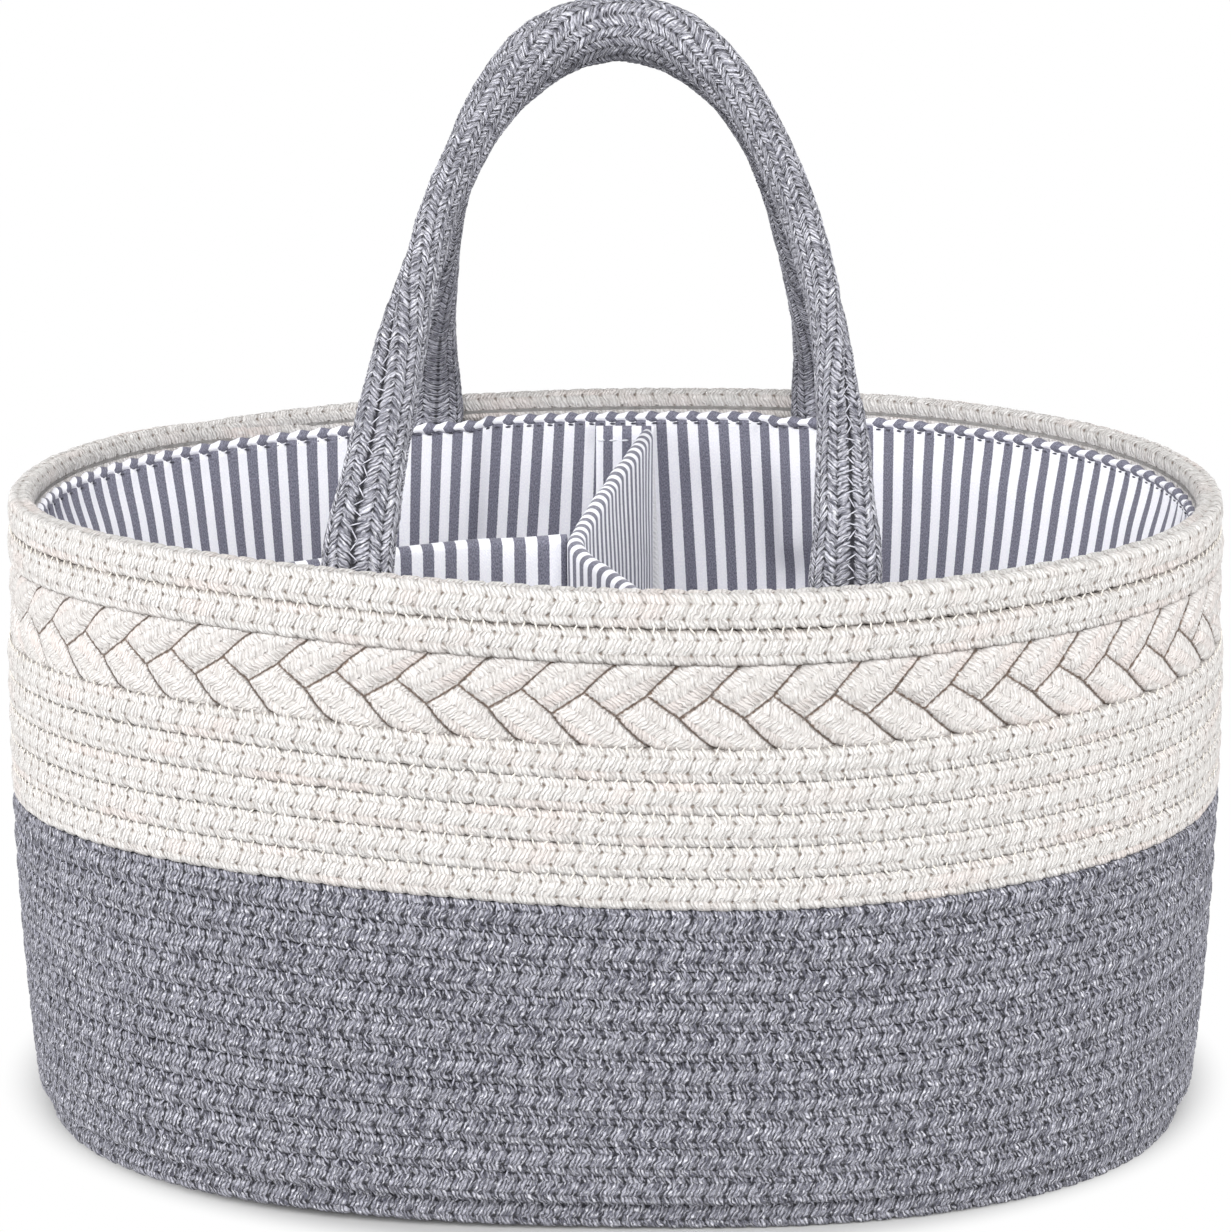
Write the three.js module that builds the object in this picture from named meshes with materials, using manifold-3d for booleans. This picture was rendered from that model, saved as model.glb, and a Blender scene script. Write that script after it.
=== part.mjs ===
// Diaper caddy of sewn cotton rope: an oval coiled tub with a plaited band below its rim, a striped
// cotton lining, two folded-strap handles that lean together, and a lift-out divider of padded panels.
// Millimetres, +Z up, +X to the right, the back towards +Y. The origin is at the middle of the underside.

import * as THREE from 'three';
import { mergeVertices } from 'three/addons/utils/BufferGeometryUtils.js';
import Module from 'manifold-3d';

const wasm = await Module();
wasm.setup();

// Driving dimensions of the tub
const bodyHalfLength = 189;
const bodyHalfWidth = 129.4;
const baseInsetLength = 2;
const baseInsetWidth = 6.6;
const wallSwell = 3.8;
const rimExponent = 2.1;
const baseExponent = 2.6;
const seatGap = 0.3;

// Rope of the wall: courses wound on edge, one on the other
const ropeThick = 7.6;
const ropePitch = 9.65;
const ropeGap = 0.5;
const baseRopeGap = 0.9;
const ropeFlatShare = 0.5;
const ropeTip = 0.9;
const greyCourses = 11;
const creamCourses = 5;
const wallBottom = 1.2;
const cornerInset = 5;
const cornerHeight = 9;
const spiralRise = 1.7;

// Rim: two courses of cream rope above the plait
const rimCourses = 2;
const rimPitch = 10.2;

// Plait of three flat cords, running round the tub between the wall and the rim
const plaitHeight = 24;
const plaitPeriods = 18;
const strandCount = 3;
const strandWidth = 9;
const strandThick = 3.4;
const strandGap = 0.6;
const strandOverShare = 0.75;
const plaitEndGap = 1.2;

// Lining of cotton cloth on wadding
const liningThick = 2;
const liningTop = 190;
const floorThick = 2;
const hemHeight = 3.5;
const hemThick = 3.2;

// Handles: a braided strap folded to a tube with a stitched seam on its outer side
const handleTop = 349.5;
const handleDrop = 2;
const frontHandleSpread = 68;
const frontHandleShiftLeft = 2.3;
const frontHandleSway = 4.6;
const backHandleSpread = 66;
const backHandleShift = 3.5;
const backHandleSwayLeft = 5;
const handleMeetGap = 0.6;
const gripRadius = 9;
const strapWidth = 20.5;
const strapThick = 3.4;
const tailThick = 4.5;
const tailLength = 46;
const pocketRamp = 8;
const legBendRadius = 40;
const hingeReach = 7.4;
const archSquareness = 0.92;
const seamDepth = 1.1;
const seamAngle = THREE.MathUtils.degToRad(14);
const coreStartShare = 0.3;

// Divider: boards in cloth covers that are open below, held by touch-tape tabs
const panelThick = 5.2;
const panelTop = 188;
const coverThick = 1.1;
const sewnEnd = 4;
const patchThick = 1;
const patchWidth = 20;
const patchMargin = 5;
const tabThick = 1.6;
const tabWidth = 22;
const tabTop = 184;
const tabBottom = 118;
const overrun = 6;

// Counts
const loopSteps = 24;
const climbSteps = 4;
const startStep = 6;
const capSteps = 8;
const innerCapSteps = 4;
const innerLoops = 2;
const strandSteps = 12;
const handleSteps = 26;
const sleeveSides = 12;
const planSteps = 22;
const insideLevels = 6;

// Levels that follow from the sizes above
const greyTop = wallBottom + greyCourses * ropePitch;
const creamTop = greyTop + creamCourses * ropePitch;
const plaitTop = creamTop + plaitHeight;
const rimTop = plaitTop + rimCourses * rimPitch;
const floorBottom = ropeThick + seatGap;
const floorTop = floorBottom + floorThick;
const liningOuter = ropeThick + seatGap;
const liningInner = liningOuter + liningThick;
const patchOuter = liningInner + seatGap;
const tabOuter = patchOuter + patchThick + seatGap;
const panelEndInset = tabOuter + tabThick + seatGap;
const footLevel = rimTop - rimPitch / 2;
const tailTop = footLevel - seatGap;
const tailBottom = tailTop - tailLength;
const strandOver = (strandThick + strandGap) * strandOverShare;

const materials = {
  greyRope: new THREE.MeshStandardMaterial({ color: 0x8f939c, roughness: 0.95 }),
  creamRope: new THREE.MeshStandardMaterial({ color: 0xe4dcd2, roughness: 0.95 }),
  handleBraid: new THREE.MeshStandardMaterial({ color: 0xa3a5ad, roughness: 0.95 }),
  stripedCotton: new THREE.MeshStandardMaterial({ color: 0xb4b6c2, roughness: 0.9 }),
  coreCord: new THREE.MeshStandardMaterial({ color: 0xdcd9d2, roughness: 0.9 }),
  board: new THREE.MeshStandardMaterial({ color: 0xc9bda6, roughness: 0.8 }),
  touchTape: new THREE.MeshStandardMaterial({ color: 0xf0f0f0, roughness: 0.85 }),
};

// Closed mesh from rings of points, each ring with as many points. A closed sweep joins its last ring
// to its first; an open one is capped by a fan at each end.
function skin(rings, closed = false) {
  const sides = rings[0].length;
  const positions = rings.flat().flatMap((point) => point.toArray());
  const index = [];
  const spans = closed ? rings.length : rings.length - 1;
  for (let i = 0; i < spans; i++) {
    const here = i * sides;
    const there = ((i + 1) % rings.length) * sides;
    for (let j = 0; j < sides; j++) {
      const next = (j + 1) % sides;
      index.push(here + j, here + next, there + next, here + j, there + next, there + j);
    }
  }
  if (!closed) {
    const last = (rings.length - 1) * sides;
    for (let j = 1; j < sides - 1; j++) {
      index.push(0, j + 1, j, last, last + j, last + j + 1);
    }
  }
  return facingOut(positions, index);
}

// Tube with a bore: outer and inner rings with as many points, open at both ends
function hollowSkin(outerRings, innerRings) {
  const around = outerRings.map((ring, i) => [ring, innerRings[i]]);
  const sides = outerRings[0].length;
  const positions = around.flat(2).flatMap((point) => point.toArray());
  const index = [];
  const outer = (i, j) => i * 2 * sides + (j % sides);
  const inner = (i, j) => outer(i, j) + sides;
  const quad = (a, b, c, d) => index.push(a, b, c, a, c, d);
  for (let j = 0; j < sides; j++) {
    for (let i = 0; i < around.length - 1; i++) {
      quad(outer(i, j), outer(i, j + 1), outer(i + 1, j + 1), outer(i + 1, j));
      quad(inner(i, j), inner(i + 1, j), inner(i + 1, j + 1), inner(i, j + 1));
    }
    const last = around.length - 1;
    quad(outer(0, j), inner(0, j), inner(0, j + 1), outer(0, j + 1));
    quad(outer(last, j), outer(last, j + 1), inner(last, j + 1), inner(last, j));
  }
  return facingOut(positions, index);
}

function facingOut(positions, index) {
  const corner = (i) => new THREE.Vector3().fromArray(positions, 3 * index[i]);
  let volume = 0;
  for (let i = 0; i < index.length; i += 3) {
    volume += corner(i).dot(corner(i + 1).cross(corner(i + 2)));
  }
  if (volume < 0) index.reverse();
  const geometry = new THREE.BufferGeometry();
  geometry.setAttribute('position', new THREE.Float32BufferAttribute(positions, 3));
  geometry.setIndex(index);
  geometry.computeVertexNormals();
  return geometry;
}

function toManifold(geometry) {
  const bare = geometry.clone();
  bare.deleteAttribute('normal');
  bare.deleteAttribute('uv');
  const merged = mergeVertices(bare);
  const vertProperties = new Float32Array(merged.attributes.position.array);
  const triVerts = new Uint32Array(merged.index.array);
  return new wasm.Manifold(new wasm.Mesh({ numProp: 3, vertProperties, triVerts }));
}

function fromManifold(solid) {
  const mesh = solid.getMesh();
  const geometry = new THREE.BufferGeometry();
  geometry.setAttribute('position', new THREE.Float32BufferAttribute(mesh.vertProperties, 3));
  geometry.setIndex(Array.from(mesh.triVerts));
  geometry.computeVertexNormals();
  return geometry;
}

function piece(name, geometry, material) {
  const mesh = new THREE.Mesh(geometry, material);
  mesh.name = name;
  return mesh;
}

// Plan of the tub at a height: a superellipse drawn in towards the base and swelling at half height,
// set in by the inset along its normal. A turn has loopSteps corners, so every layer of the wall has
// parallel flats.
function wallCorner(step, inset, z) {
  const rise = THREE.MathUtils.clamp(z / rimTop, 0, 1);
  const swell = wallSwell * 4 * rise * (1 - rise);
  const halfLength = bodyHalfLength - baseInsetLength * (1 - rise) + swell;
  const halfWidth = bodyHalfWidth - baseInsetWidth * (1 - rise) + swell;
  const exponent = THREE.MathUtils.lerp(baseExponent, rimExponent, rise);
  const angle = (2 * Math.PI * step) / loopSteps;
  const across = Math.cos(angle);
  const along = Math.sin(angle);
  const shareX = Math.sign(across) * Math.abs(across) ** (2 / exponent);
  const shareY = Math.sign(along) * Math.abs(along) ** (2 / exponent);
  const normal = new THREE.Vector3(
    (Math.sign(shareX) * Math.abs(shareX) ** (exponent - 1)) / halfLength,
    (Math.sign(shareY) * Math.abs(shareY) ** (exponent - 1)) / halfWidth,
    0,
  ).normalize();
  return new THREE.Vector3(halfLength * shareX, halfWidth * shareY, z).addScaledVector(normal, -inset);
}

function wallPoint(place, inset, z) {
  const step = Math.floor(place);
  return wallCorner(step, inset, z).lerp(wallCorner(step + 1, inset, z), place - step);
}

function outwardAt(place, z) {
  const along = wallCorner(Math.floor(place) + 1, 0, z).sub(wallCorner(Math.floor(place), 0, z));
  return new THREE.Vector3(along.y, -along.x, 0).normalize();
}

// Arc length round the lining at the rim, to set widths along the wall
const rimLengths = [0];
for (let step = 0; step < loopSteps; step++) {
  const span = wallCorner(step, liningOuter, rimTop).distanceTo(wallCorner(step + 1, liningOuter, rimTop));
  rimLengths.push(rimLengths[step] + span);
}
const rimGirth = rimLengths[loopSteps];

function placeAt(length) {
  const turns = Math.floor(length / rimGirth);
  const rest = length - turns * rimGirth;
  let step = 0;
  while (step < loopSteps - 1 && rimLengths[step + 1] < rest) step++;
  return turns * loopSteps + step + (rest - rimLengths[step]) / (rimLengths[step + 1] - rimLengths[step]);
}

// Arc length of the wall's point at x, on the front (side -1) or the back (side 1)
function lengthAtX(x, side) {
  let low = side > 0 ? 0 : rimGirth / 2;
  let high = low + rimGirth / 2;
  for (let i = 0; i < 50; i++) {
    const middle = (low + high) / 2;
    const ahead = wallPoint(placeAt(middle), liningOuter, rimTop).x > x;
    if (ahead === side > 0) low = middle;
    else high = middle;
  }
  return (low + high) / 2;
}

// A course tilts a little, because the rope climbs as it goes round
function layOnSpiral(point) {
  const height = Math.sin((Math.PI * point.z) / rimTop);
  point.z += ((spiralRise * point.x) / bodyHalfLength) * height;
  return point;
}

function cornerRounding(z) {
  return cornerInset * Math.max(0, 1 - z / cornerHeight) ** 2;
}

// Six-sided rope with a flat top and underside, round its outside
function ropeSection(step, low, high) {
  const flat = (ropeThick * ropeFlatShare) / 2;
  const middle = (low + high) / 2;
  const corners = [
    [0, middle],
    [ropeThick / 2 - flat, high],
    [ropeThick / 2 + flat, high],
    [ropeThick, middle],
    [ropeThick / 2 + flat, low],
    [ropeThick / 2 - flat, low],
  ];
  return corners.map(([inset, z]) => layOnSpiral(wallCorner(step, inset + cornerRounding(z), z)));
}

// Courses climbed so far at a step of the winding: each loop lies level and climbs at the back
function coursesClimbed(step) {
  if (step < 0) return 0;
  const share = Math.min((step % loopSteps) / climbSteps, 1);
  return Math.floor(step / loopSteps) + share * share * (3 - 2 * share);
}

// One unbroken rope wound round the tub, its first loop grown from a tapered end on a level
// underside and its last ending in a taper below a level top
function windingRings(bottom, courses, pitch) {
  const rings = [];
  for (let step = 0; step <= courses * loopSteps + climbSteps; step++) {
    const low = bottom + pitch * coursesClimbed(step - loopSteps) + ropeGap / 2;
    const high = bottom + pitch * Math.min(coursesClimbed(step), courses) - ropeGap / 2;
    if (high - low > ropeTip) rings.push(ropeSection(step + startStep, low, high));
  }
  return rings;
}

// Least distance between points of one tube that lie over half a loop apart along it
function leastSelfGap(rings, ringsPerLoop) {
  let least = Infinity;
  const halfLoop = Math.floor(ringsPerLoop / 2);
  const between = rings.map((ring, i) => {
    const next = rings[Math.min(i + 1, rings.length - 1)];
    return ring.concat(ring.map((point, j) => point.clone().lerp(next[j], 1 / 2)));
  });
  for (let i = 0; i < between.length; i++) {
    for (let k = i + halfLoop; k < Math.min(i + 2 * ringsPerLoop, between.length); k++) {
      for (const a of between[i]) {
        for (const b of between[k]) least = Math.min(least, a.distanceToSquared(b));
      }
    }
  }
  return Math.sqrt(least);
}

function buildWinding(name, bottom, courses, pitch, material) {
  const rings = windingRings(bottom, courses, pitch);
  console.log(`${name}: least gap to itself ${leastSelfGap(rings, loopSteps).toFixed(2)} mm`);
  return piece(name, skin(rings), material);
}

// Way from a point inside the base, along a direction, to the inner side of the lowest course
const coreHalfRun = bodyHalfLength - bodyHalfWidth;
function reachOnBase(centre, direction) {
  let reach = Infinity;
  for (const z of [wallBottom, ropeThick]) {
    for (let step = 0; step < loopSteps; step++) {
      const [from, to] = [step, step + 1].map((corner) =>
        wallCorner(corner, ropeThick + cornerRounding(z), z).sub(centre),
      );
      const edge = to.sub(from);
      const across = direction.x * edge.y - direction.y * edge.x;
      const way = (from.x * edge.y - from.y * edge.x) / across;
      const share = (from.x * direction.y - from.y * direction.x) / across;
      if (way > 0 && share >= 0 && share <= 1) reach = Math.min(reach, way);
    }
  }
  return reach - seatGap;
}

// Oval coil of the base: straight runs joined by half turns, the right ones half a pitch off the
// middle so that each loop lies one pitch outside the last, and the loops spread to meet the wall.
// The rope lies flat on the ground.
function buildBaseCoil() {
  const ends = Array.from({ length: capSteps + 1 }, (_, i) => Math.PI / 2 + (Math.PI * i) / capSteps);
  const room = Math.min(
    ...ends.map((angle) => {
      const direction = new THREE.Vector3(Math.cos(angle), Math.sin(angle), 0);
      return reachOnBase(new THREE.Vector3(-coreHalfRun, 0, 0), direction);
    }),
  );
  const loops = Math.max(1, Math.round(room / ropePitch - 1 / 2));
  const pitch = room / (loops + 1 / 2);
  const halfRope = (pitch - baseRopeGap) / 2;
  const rings = [];
  const addSection = (x, y, angle, radius) => {
    const centre = new THREE.Vector3(x, y, 0);
    const direction = new THREE.Vector3(Math.cos(angle), Math.sin(angle), 0);
    const spread = radius * Math.max(1, reachOnBase(centre, direction) / room);
    const sectionShares = [
      [-1, 1 / 2],
      [-ropeFlatShare, 1],
      [ropeFlatShare, 1],
      [1, 1 / 2],
      [ropeFlatShare, 0],
      [-ropeFlatShare, 0],
    ];
    rings.push(
      sectionShares.map(([out, up]) =>
        centre
          .clone()
          .addScaledVector(direction, spread + out * halfRope)
          .setZ(up * ropeThick),
      ),
    );
  };
  const halfTurn = (x, y, radius, from, steps) => {
    for (let i = 0; i <= steps; i++) addSection(x, y, from + (Math.PI * i) / steps, radius);
  };
  addSection(-coreHalfRun, pitch / 2, -Math.PI / 2, pitch / 2);
  for (let loop = 1; loop <= loops; loop++) {
    const steps = loop <= innerLoops ? innerCapSteps : capSteps;
    halfTurn(coreHalfRun, pitch / 2, (loop - 1 / 2) * pitch, -Math.PI / 2, steps);
    addSection(0, pitch / 2, Math.PI / 2, (loop - 1 / 2) * pitch);
    halfTurn(-coreHalfRun, 0, loop * pitch, Math.PI / 2, steps);
    addSection(0, 0, -Math.PI / 2, loop * pitch);
  }
  addSection(coreHalfRun, 0, -Math.PI / 2, loops * pitch);
  const gap = leastSelfGap(rings, 2 * innerCapSteps + 2 * 2);
  console.log(`base_coil: least gap to itself ${gap.toFixed(2)} mm`);
  return piece('base_coil', skin(rings), materials.greyRope);
}

// Point of the plait, given along the wall, outwards from the plait's middle layer, and up
function onPlait(along, out, z) {
  const inset = ropeThick - seatGap - strandOver - strandThick / 2 - out;
  return layOnSpiral(wallPoint(placeAt(rimLengths[startStep] + along), inset, z));
}

// Centre line of one strand, laid out flat: it swings up and down once a period and passes over and
// under twice, a third of a period behind the next strand
function strandCentre(strand, along) {
  const swing = (plaitHeight - ropeGap - strandWidth) / 2;
  const phase = 2 * Math.PI * ((along / rimGirth) * plaitPeriods + strand / strandCount);
  const z = (creamTop + plaitTop) / 2 + swing * Math.sin(phase);
  return new THREE.Vector3(along, strandOver * Math.sin(2 * phase), z);
}

function buildStrand(strand) {
  const steps = plaitPeriods * strandSteps;
  const stepLength = rimGirth / steps;
  const outwards = new THREE.Vector3(0, 1, 0);
  const rings = [];
  for (let i = 0; i <= steps; i++) {
    const along = THREE.MathUtils.clamp(i * stepLength, plaitEndGap / 2, rimGirth - plaitEndGap / 2);
    const before = strandCentre(strand, along - stepLength / 2);
    const tangent = strandCentre(strand, along + stepLength / 2).sub(before).normalize();
    const wide = new THREE.Vector3().crossVectors(outwards, tangent).normalize();
    const deep = new THREE.Vector3().crossVectors(tangent, wide);
    const sectionShares = [
      [-1, 0],
      [0, 1],
      [1, 0],
      [0, -1],
    ];
    rings.push(
      sectionShares.map(([acrossShare, outShare]) => {
        const flat = strandCentre(strand, along)
          .addScaledVector(wide, (acrossShare * strandWidth) / 2)
          .addScaledVector(deep, (outShare * strandThick) / 2);
        return onPlait(flat.x, flat.y, flat.z);
      }),
    );
  }
  return piece(`plait_strand_${strand + 1}`, skin(rings), materials.creamRope);
}

// The four tails of the handles, sewn in between the rope wall and the lining
const handles = [
  {
    name: 'front_handle',
    side: -1,
    spread: frontHandleSpread,
    shift: -frontHandleShiftLeft,
    sway: frontHandleSway,
    top: handleTop - gripRadius,
  },
  {
    name: 'back_handle',
    side: 1,
    spread: backHandleSpread,
    shift: backHandleShift,
    sway: -backHandleSwayLeft,
    top: handleTop - gripRadius - handleDrop,
  },
];
for (const handle of handles) {
  handle.feet = [-1, 1].map((hand) => {
    const x = handle.shift + hand * handle.spread;
    return { hand, length: lengthAtX(x, handle.side) };
  });
}
const allFeet = handles.flatMap((handle) => handle.feet);

// Places along the wall from one arc length to another, with the wall's corners between them
function placesBetween(from, to) {
  const first = placeAt(from);
  const last = placeAt(to);
  const places = [first];
  for (let step = Math.floor(first) + 1; step < last; step++) places.push(step);
  return places.concat(last);
}

// Plate that follows the wall between two insets, or stands plumb below the rim's outline
function wallPlate(from, to, insets, levels, plumb = false) {
  const [outer, inner] = insets;
  const [low, high] = levels;
  const rows = [low, (low + high) / 2, high];
  const at = (place, inset, z) => wallPoint(place, inset, plumb ? rimTop : z).setZ(z);
  const rings = placesBetween(from, to).map((place) => [
    ...rows.map((z) => at(place, outer, z)),
    ...rows.toReversed().map((z) => at(place, inner, z)),
  ]);
  return skin(rings);
}

function buildTail(name, foot) {
  const insets = [liningOuter, liningOuter + tailThick];
  const from = foot.length - strapWidth / 2;
  return piece(name, wallPlate(from, from + strapWidth, insets, [tailBottom, tailTop]), materials.handleBraid);
}

// Room that the lining leaves for the tails, from 0 to 1
function pocketAt(length, z) {
  const near = allFeet.map((foot) => {
    const around = Math.abs(((length - foot.length + rimGirth * 1.5) % rimGirth) - rimGirth / 2);
    return 1 - Math.max(0, around - strapWidth / 2 - 2 * seatGap) / pocketRamp;
  });
  const above = 1 - Math.max(0, tailBottom - seatGap - z) / pocketRamp;
  return Math.max(0, Math.min(above, Math.max(...near)));
}

// Arc lengths at which the lining has a corner: the wall's own corners and those of the pockets
function liningLengths() {
  const pockets = allFeet.flatMap((foot) => {
    const full = strapWidth / 2 + 2 * seatGap;
    return [-full - pocketRamp, -full, full, full + pocketRamp].map((d) => foot.length + d);
  });
  const all = rimLengths.slice(0, loopSteps).concat(pockets.map((d) => (d + rimGirth) % rimGirth));
  all.sort((a, b) => a - b);
  return all.filter((d, i) => i === 0 || d - all[i - 1] > seatGap);
}

function liningRing(length, levels, depth) {
  const place = placeAt(length);
  const inset = (z) => liningOuter + pocketAt(length, z) * (tailThick + seatGap);
  return [
    ...levels.map(([z, draw]) => wallPoint(place, inset(z) + draw, z)),
    ...levels.toReversed().map(([z, draw]) => wallPoint(place, inset(z) + depth - draw, z)),
  ];
}

function buildLining() {
  const pocketTop = tailBottom - seatGap;
  const rows = [floorBottom];
  const plainRows = 4;
  for (let i = 1; i < plainRows; i++) {
    rows.push(floorBottom + ((pocketTop - pocketRamp - floorBottom) * i) / plainRows);
  }
  rows.push(pocketTop - pocketRamp, pocketTop, liningTop);
  const levels = rows.map((z) => [z, 0]);
  const wall = skin(liningLengths().map((length) => liningRing(length, levels, liningThick)), true);
  const hemLow = liningTop + seatGap;
  const draw = (hemThick - liningThick) / 2;
  const hemLevels = [
    [hemLow, draw],
    [hemLow + hemHeight / 2, 0],
    [hemLow + hemHeight, draw],
  ];
  const hem = skin(liningLengths().map((length) => liningRing(length, hemLevels, hemThick)), true);
  const floorRing = (z) => {
    const ring = [];
    for (let step = 0; step < loopSteps; step++) ring.push(wallCorner(step, liningInner + seatGap, z));
    return ring;
  };
  const floor = skin([floorRing(floorBottom), floorRing(floorTop)]);
  return [
    piece('lining_wall', wall, materials.stripedCotton),
    piece('lining_hem', hem, materials.stripedCotton),
    piece('lining_floor', floor, materials.stripedCotton),
  ];
}

// Angle from the vertical at which a leg leans once it has bent inwards, for a run in and a rise
function leanFor(run, rise) {
  let low = 0;
  let high = Math.PI / 2;
  for (let i = 0; i < 60; i++) {
    const lean = (low + high) / 2;
    const runLeft = run - legBendRadius * (1 - Math.cos(lean));
    const riseLeft = rise - legBendRadius * Math.sin(lean);
    if (runLeft * Math.cos(lean) > riseLeft * Math.sin(lean)) low = lean;
    else high = lean;
  }
  return (low + high) / 2;
}

// Shape of the strap against its rise up the arch: [rise share, half width in the arch's plane and
// half depth across it as shares of the grip's radius, turn of the seam from the outer face as a
// share of half a turn]
const strapShapeShares = [
  [0, 1.14, 0.25, 0],
  [0.13, 0.94, 0.62, 0.05],
  [0.24, 0.84, 0.84, 0.09],
  [0.35, 0.77, 0.98, 0.18],
  [0.49, 0.65, 1.12, 0.4],
  [0.63, 0.6, 1.16, 0.48],
  [0.78, 0.58, 1.16, 0.52],
  [0.86, 0.62, 1.12, 0.6],
  [0.93, 0.8, 1.04, 0.75],
  [1, 1, 1, 1],
];

function strapShape(share) {
  const rows = strapShapeShares;
  let row = 1;
  while (row < rows.length - 1 && rows[row][0] < share) row++;
  const [from, to] = [rows[row - 1], rows[row]];
  const along = THREE.MathUtils.clamp((share - from[0]) / (to[0] - from[0]), 0, 1);
  return [1, 2, 3].map((column) => THREE.MathUtils.lerp(from[column], to[column], along));
}

const meetY = Math.sqrt((2 * gripRadius + handleMeetGap) ** 2 - handleDrop ** 2) / 2;

function layOutHandle(handle) {
  const footPoints = handle.feet.map((foot) =>
    wallPoint(placeAt(foot.length), liningOuter + tailThick / 2, footLevel),
  );
  const footOut = Math.min(...footPoints.map((point) => Math.abs(point.y)));
  const outermost = handle.feet.map((foot) => {
    const innerEdge = foot.length + foot.hand * handle.side * (strapWidth / 2);
    return Math.abs(wallPoint(placeAt(innerEdge), liningOuter, footLevel).y);
  });
  handle.footOut = footOut;
  handle.hinge = new THREE.Vector3(0, handle.side * (Math.max(...outermost) + hingeReach), footLevel);
  handle.rise = handle.top - footLevel;
  handle.lean = leanFor(footOut - meetY, handle.rise);
  const straight = (handle.rise - legBendRadius * Math.sin(handle.lean)) / Math.cos(handle.lean);
  handle.arch = legBendRadius * handle.lean + straight;
  handle.yaws = handle.feet.map((foot) => {
    const out = outwardAt(placeAt(foot.length), footLevel);
    return Math.atan2(out.x, Math.abs(out.y));
  });
}

// Centre, tangent and cross directions of the strap at a share of the way from foot to foot
function strapFrame(handle, share) {
  const centreAt = (at) => {
    const up = handle.arch * Math.sin(Math.PI * at);
    const bent = Math.min(up / legBendRadius, handle.lean);
    const past = Math.max(0, up - legBendRadius * handle.lean);
    const inwards = legBendRadius * (1 - Math.cos(bent)) + past * Math.sin(handle.lean);
    const upwards = legBendRadius * Math.sin(bent) + past * Math.cos(handle.lean);
    const aside = handle.shift + handle.sway * Math.sin(Math.PI * at);
    const across = Math.cos(Math.PI * at);
    const x = aside - handle.spread * Math.sign(across) * Math.abs(across) ** archSquareness;
    return new THREE.Vector3(x, handle.side * (handle.footOut - inwards), footLevel + upwards);
  };
  const step = 1 / (100 * handleSteps);
  const tangent = centreAt(share + step).sub(centreAt(share - step)).normalize();
  if (share === 0 || share === 1) tangent.set(0, 0, share === 0 ? 1 : -1);
  const risen = Math.sin(Math.PI * share);
  const bent = Math.min((handle.arch * risen) / legBendRadius, handle.lean);
  const outer = new THREE.Vector3(0, handle.side * Math.cos(bent), Math.sin(bent));
  const radial = new THREE.Vector3().crossVectors(outer, tangent).multiplyScalar(-handle.side).normalize();
  const yaw = handle.yaws[share < 1 / 2 ? 0 : 1] * (1 - bent / handle.lean);
  radial.applyAxisAngle(new THREE.Vector3(0, 0, 1), -handle.side * yaw);
  outer.applyAxisAngle(new THREE.Vector3(0, 0, 1), -handle.side * yaw);
  return { centre: centreAt(share), outer, radial, risen };
}

// Ring round the strap, set in from its outer face, with the notch of the seam where it is wanted
function strapRing(handle, share, inset, notch) {
  const { centre, outer, radial, risen } = strapFrame(handle, share);
  const [wideShare, deepShare, seamShare] = strapShape(risen);
  const wide = wideShare * gripRadius - inset;
  const deep = deepShare * gripRadius - inset;
  const ring = [];
  for (let i = 0; i < sleeveSides; i++) {
    const spread = (2 * Math.PI - 2 * seamAngle) / (sleeveSides - 2);
    const angle = Math.PI * seamShare + (i === 0 ? 0 : seamAngle + (i - 1) * spread);
    const depth = i === 0 ? notch : 0;
    ring.push(
      centre
        .clone()
        .addScaledVector(outer, (deep - depth) * Math.cos(angle))
        .addScaledVector(radial, (wide - depth) * Math.sin(angle))
        .sub(handle.hinge),
    );
  }
  return ring;
}

function buildHandle(handle) {
  const group = new THREE.Group();
  group.position.copy(handle.hinge);
  const shares = Array.from({ length: handleSteps + 1 }, (_, i) => i / handleSteps);
  const boreInset = (share) => {
    const [wideShare, deepShare] = strapShape(Math.sin(Math.PI * share));
    return Math.min(strapThick, (Math.min(wideShare, deepShare) * gripRadius) / 2);
  };
  const sleeve = hollowSkin(
    shares.map((share) => strapRing(handle, share, 0, seamDepth)),
    shares.map((share) => strapRing(handle, share, boreInset(share), 0)),
  );
  const coreShares = shares.filter((share) => share > coreStartShare && share < 1 - coreStartShare);
  const core = skin(coreShares.map((share) => strapRing(handle, share, strapThick + seatGap, 0)));
  group.add(piece(`${handle.name}_sleeve`, sleeve, materials.handleBraid));
  group.add(piece(`${handle.name}_core`, core, materials.coreCord));
  return group;
}

// Plans of the divider's panels, as shares of the tub's half length and half width
const crossPlanShares = [
  [0.069, 1],
  [0.063, 0.932],
  [0.006, 0.442],
  [-0.028, 0.136],
  [-0.052, -0.105],
  [-0.0625, -0.24],
  [-0.042, -0.373],
  [0.0127, -0.586],
  [0.079, -0.932],
  [0.093, -1],
];
const sidePlanShares = [
  [-0.062, -0.188],
  [-0.19, -0.225],
  [-0.27, -0.26],
  [-0.356, -0.313],
  [-0.485, -0.412],
  [-0.773, -0.582],
  [-0.9, -0.655],
];

function planCurve(shares) {
  const points = shares.map(([x, y]) => new THREE.Vector3(x * bodyHalfLength, y * bodyHalfWidth, 0));
  return new THREE.CatmullRomCurve3(points);
}

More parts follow.
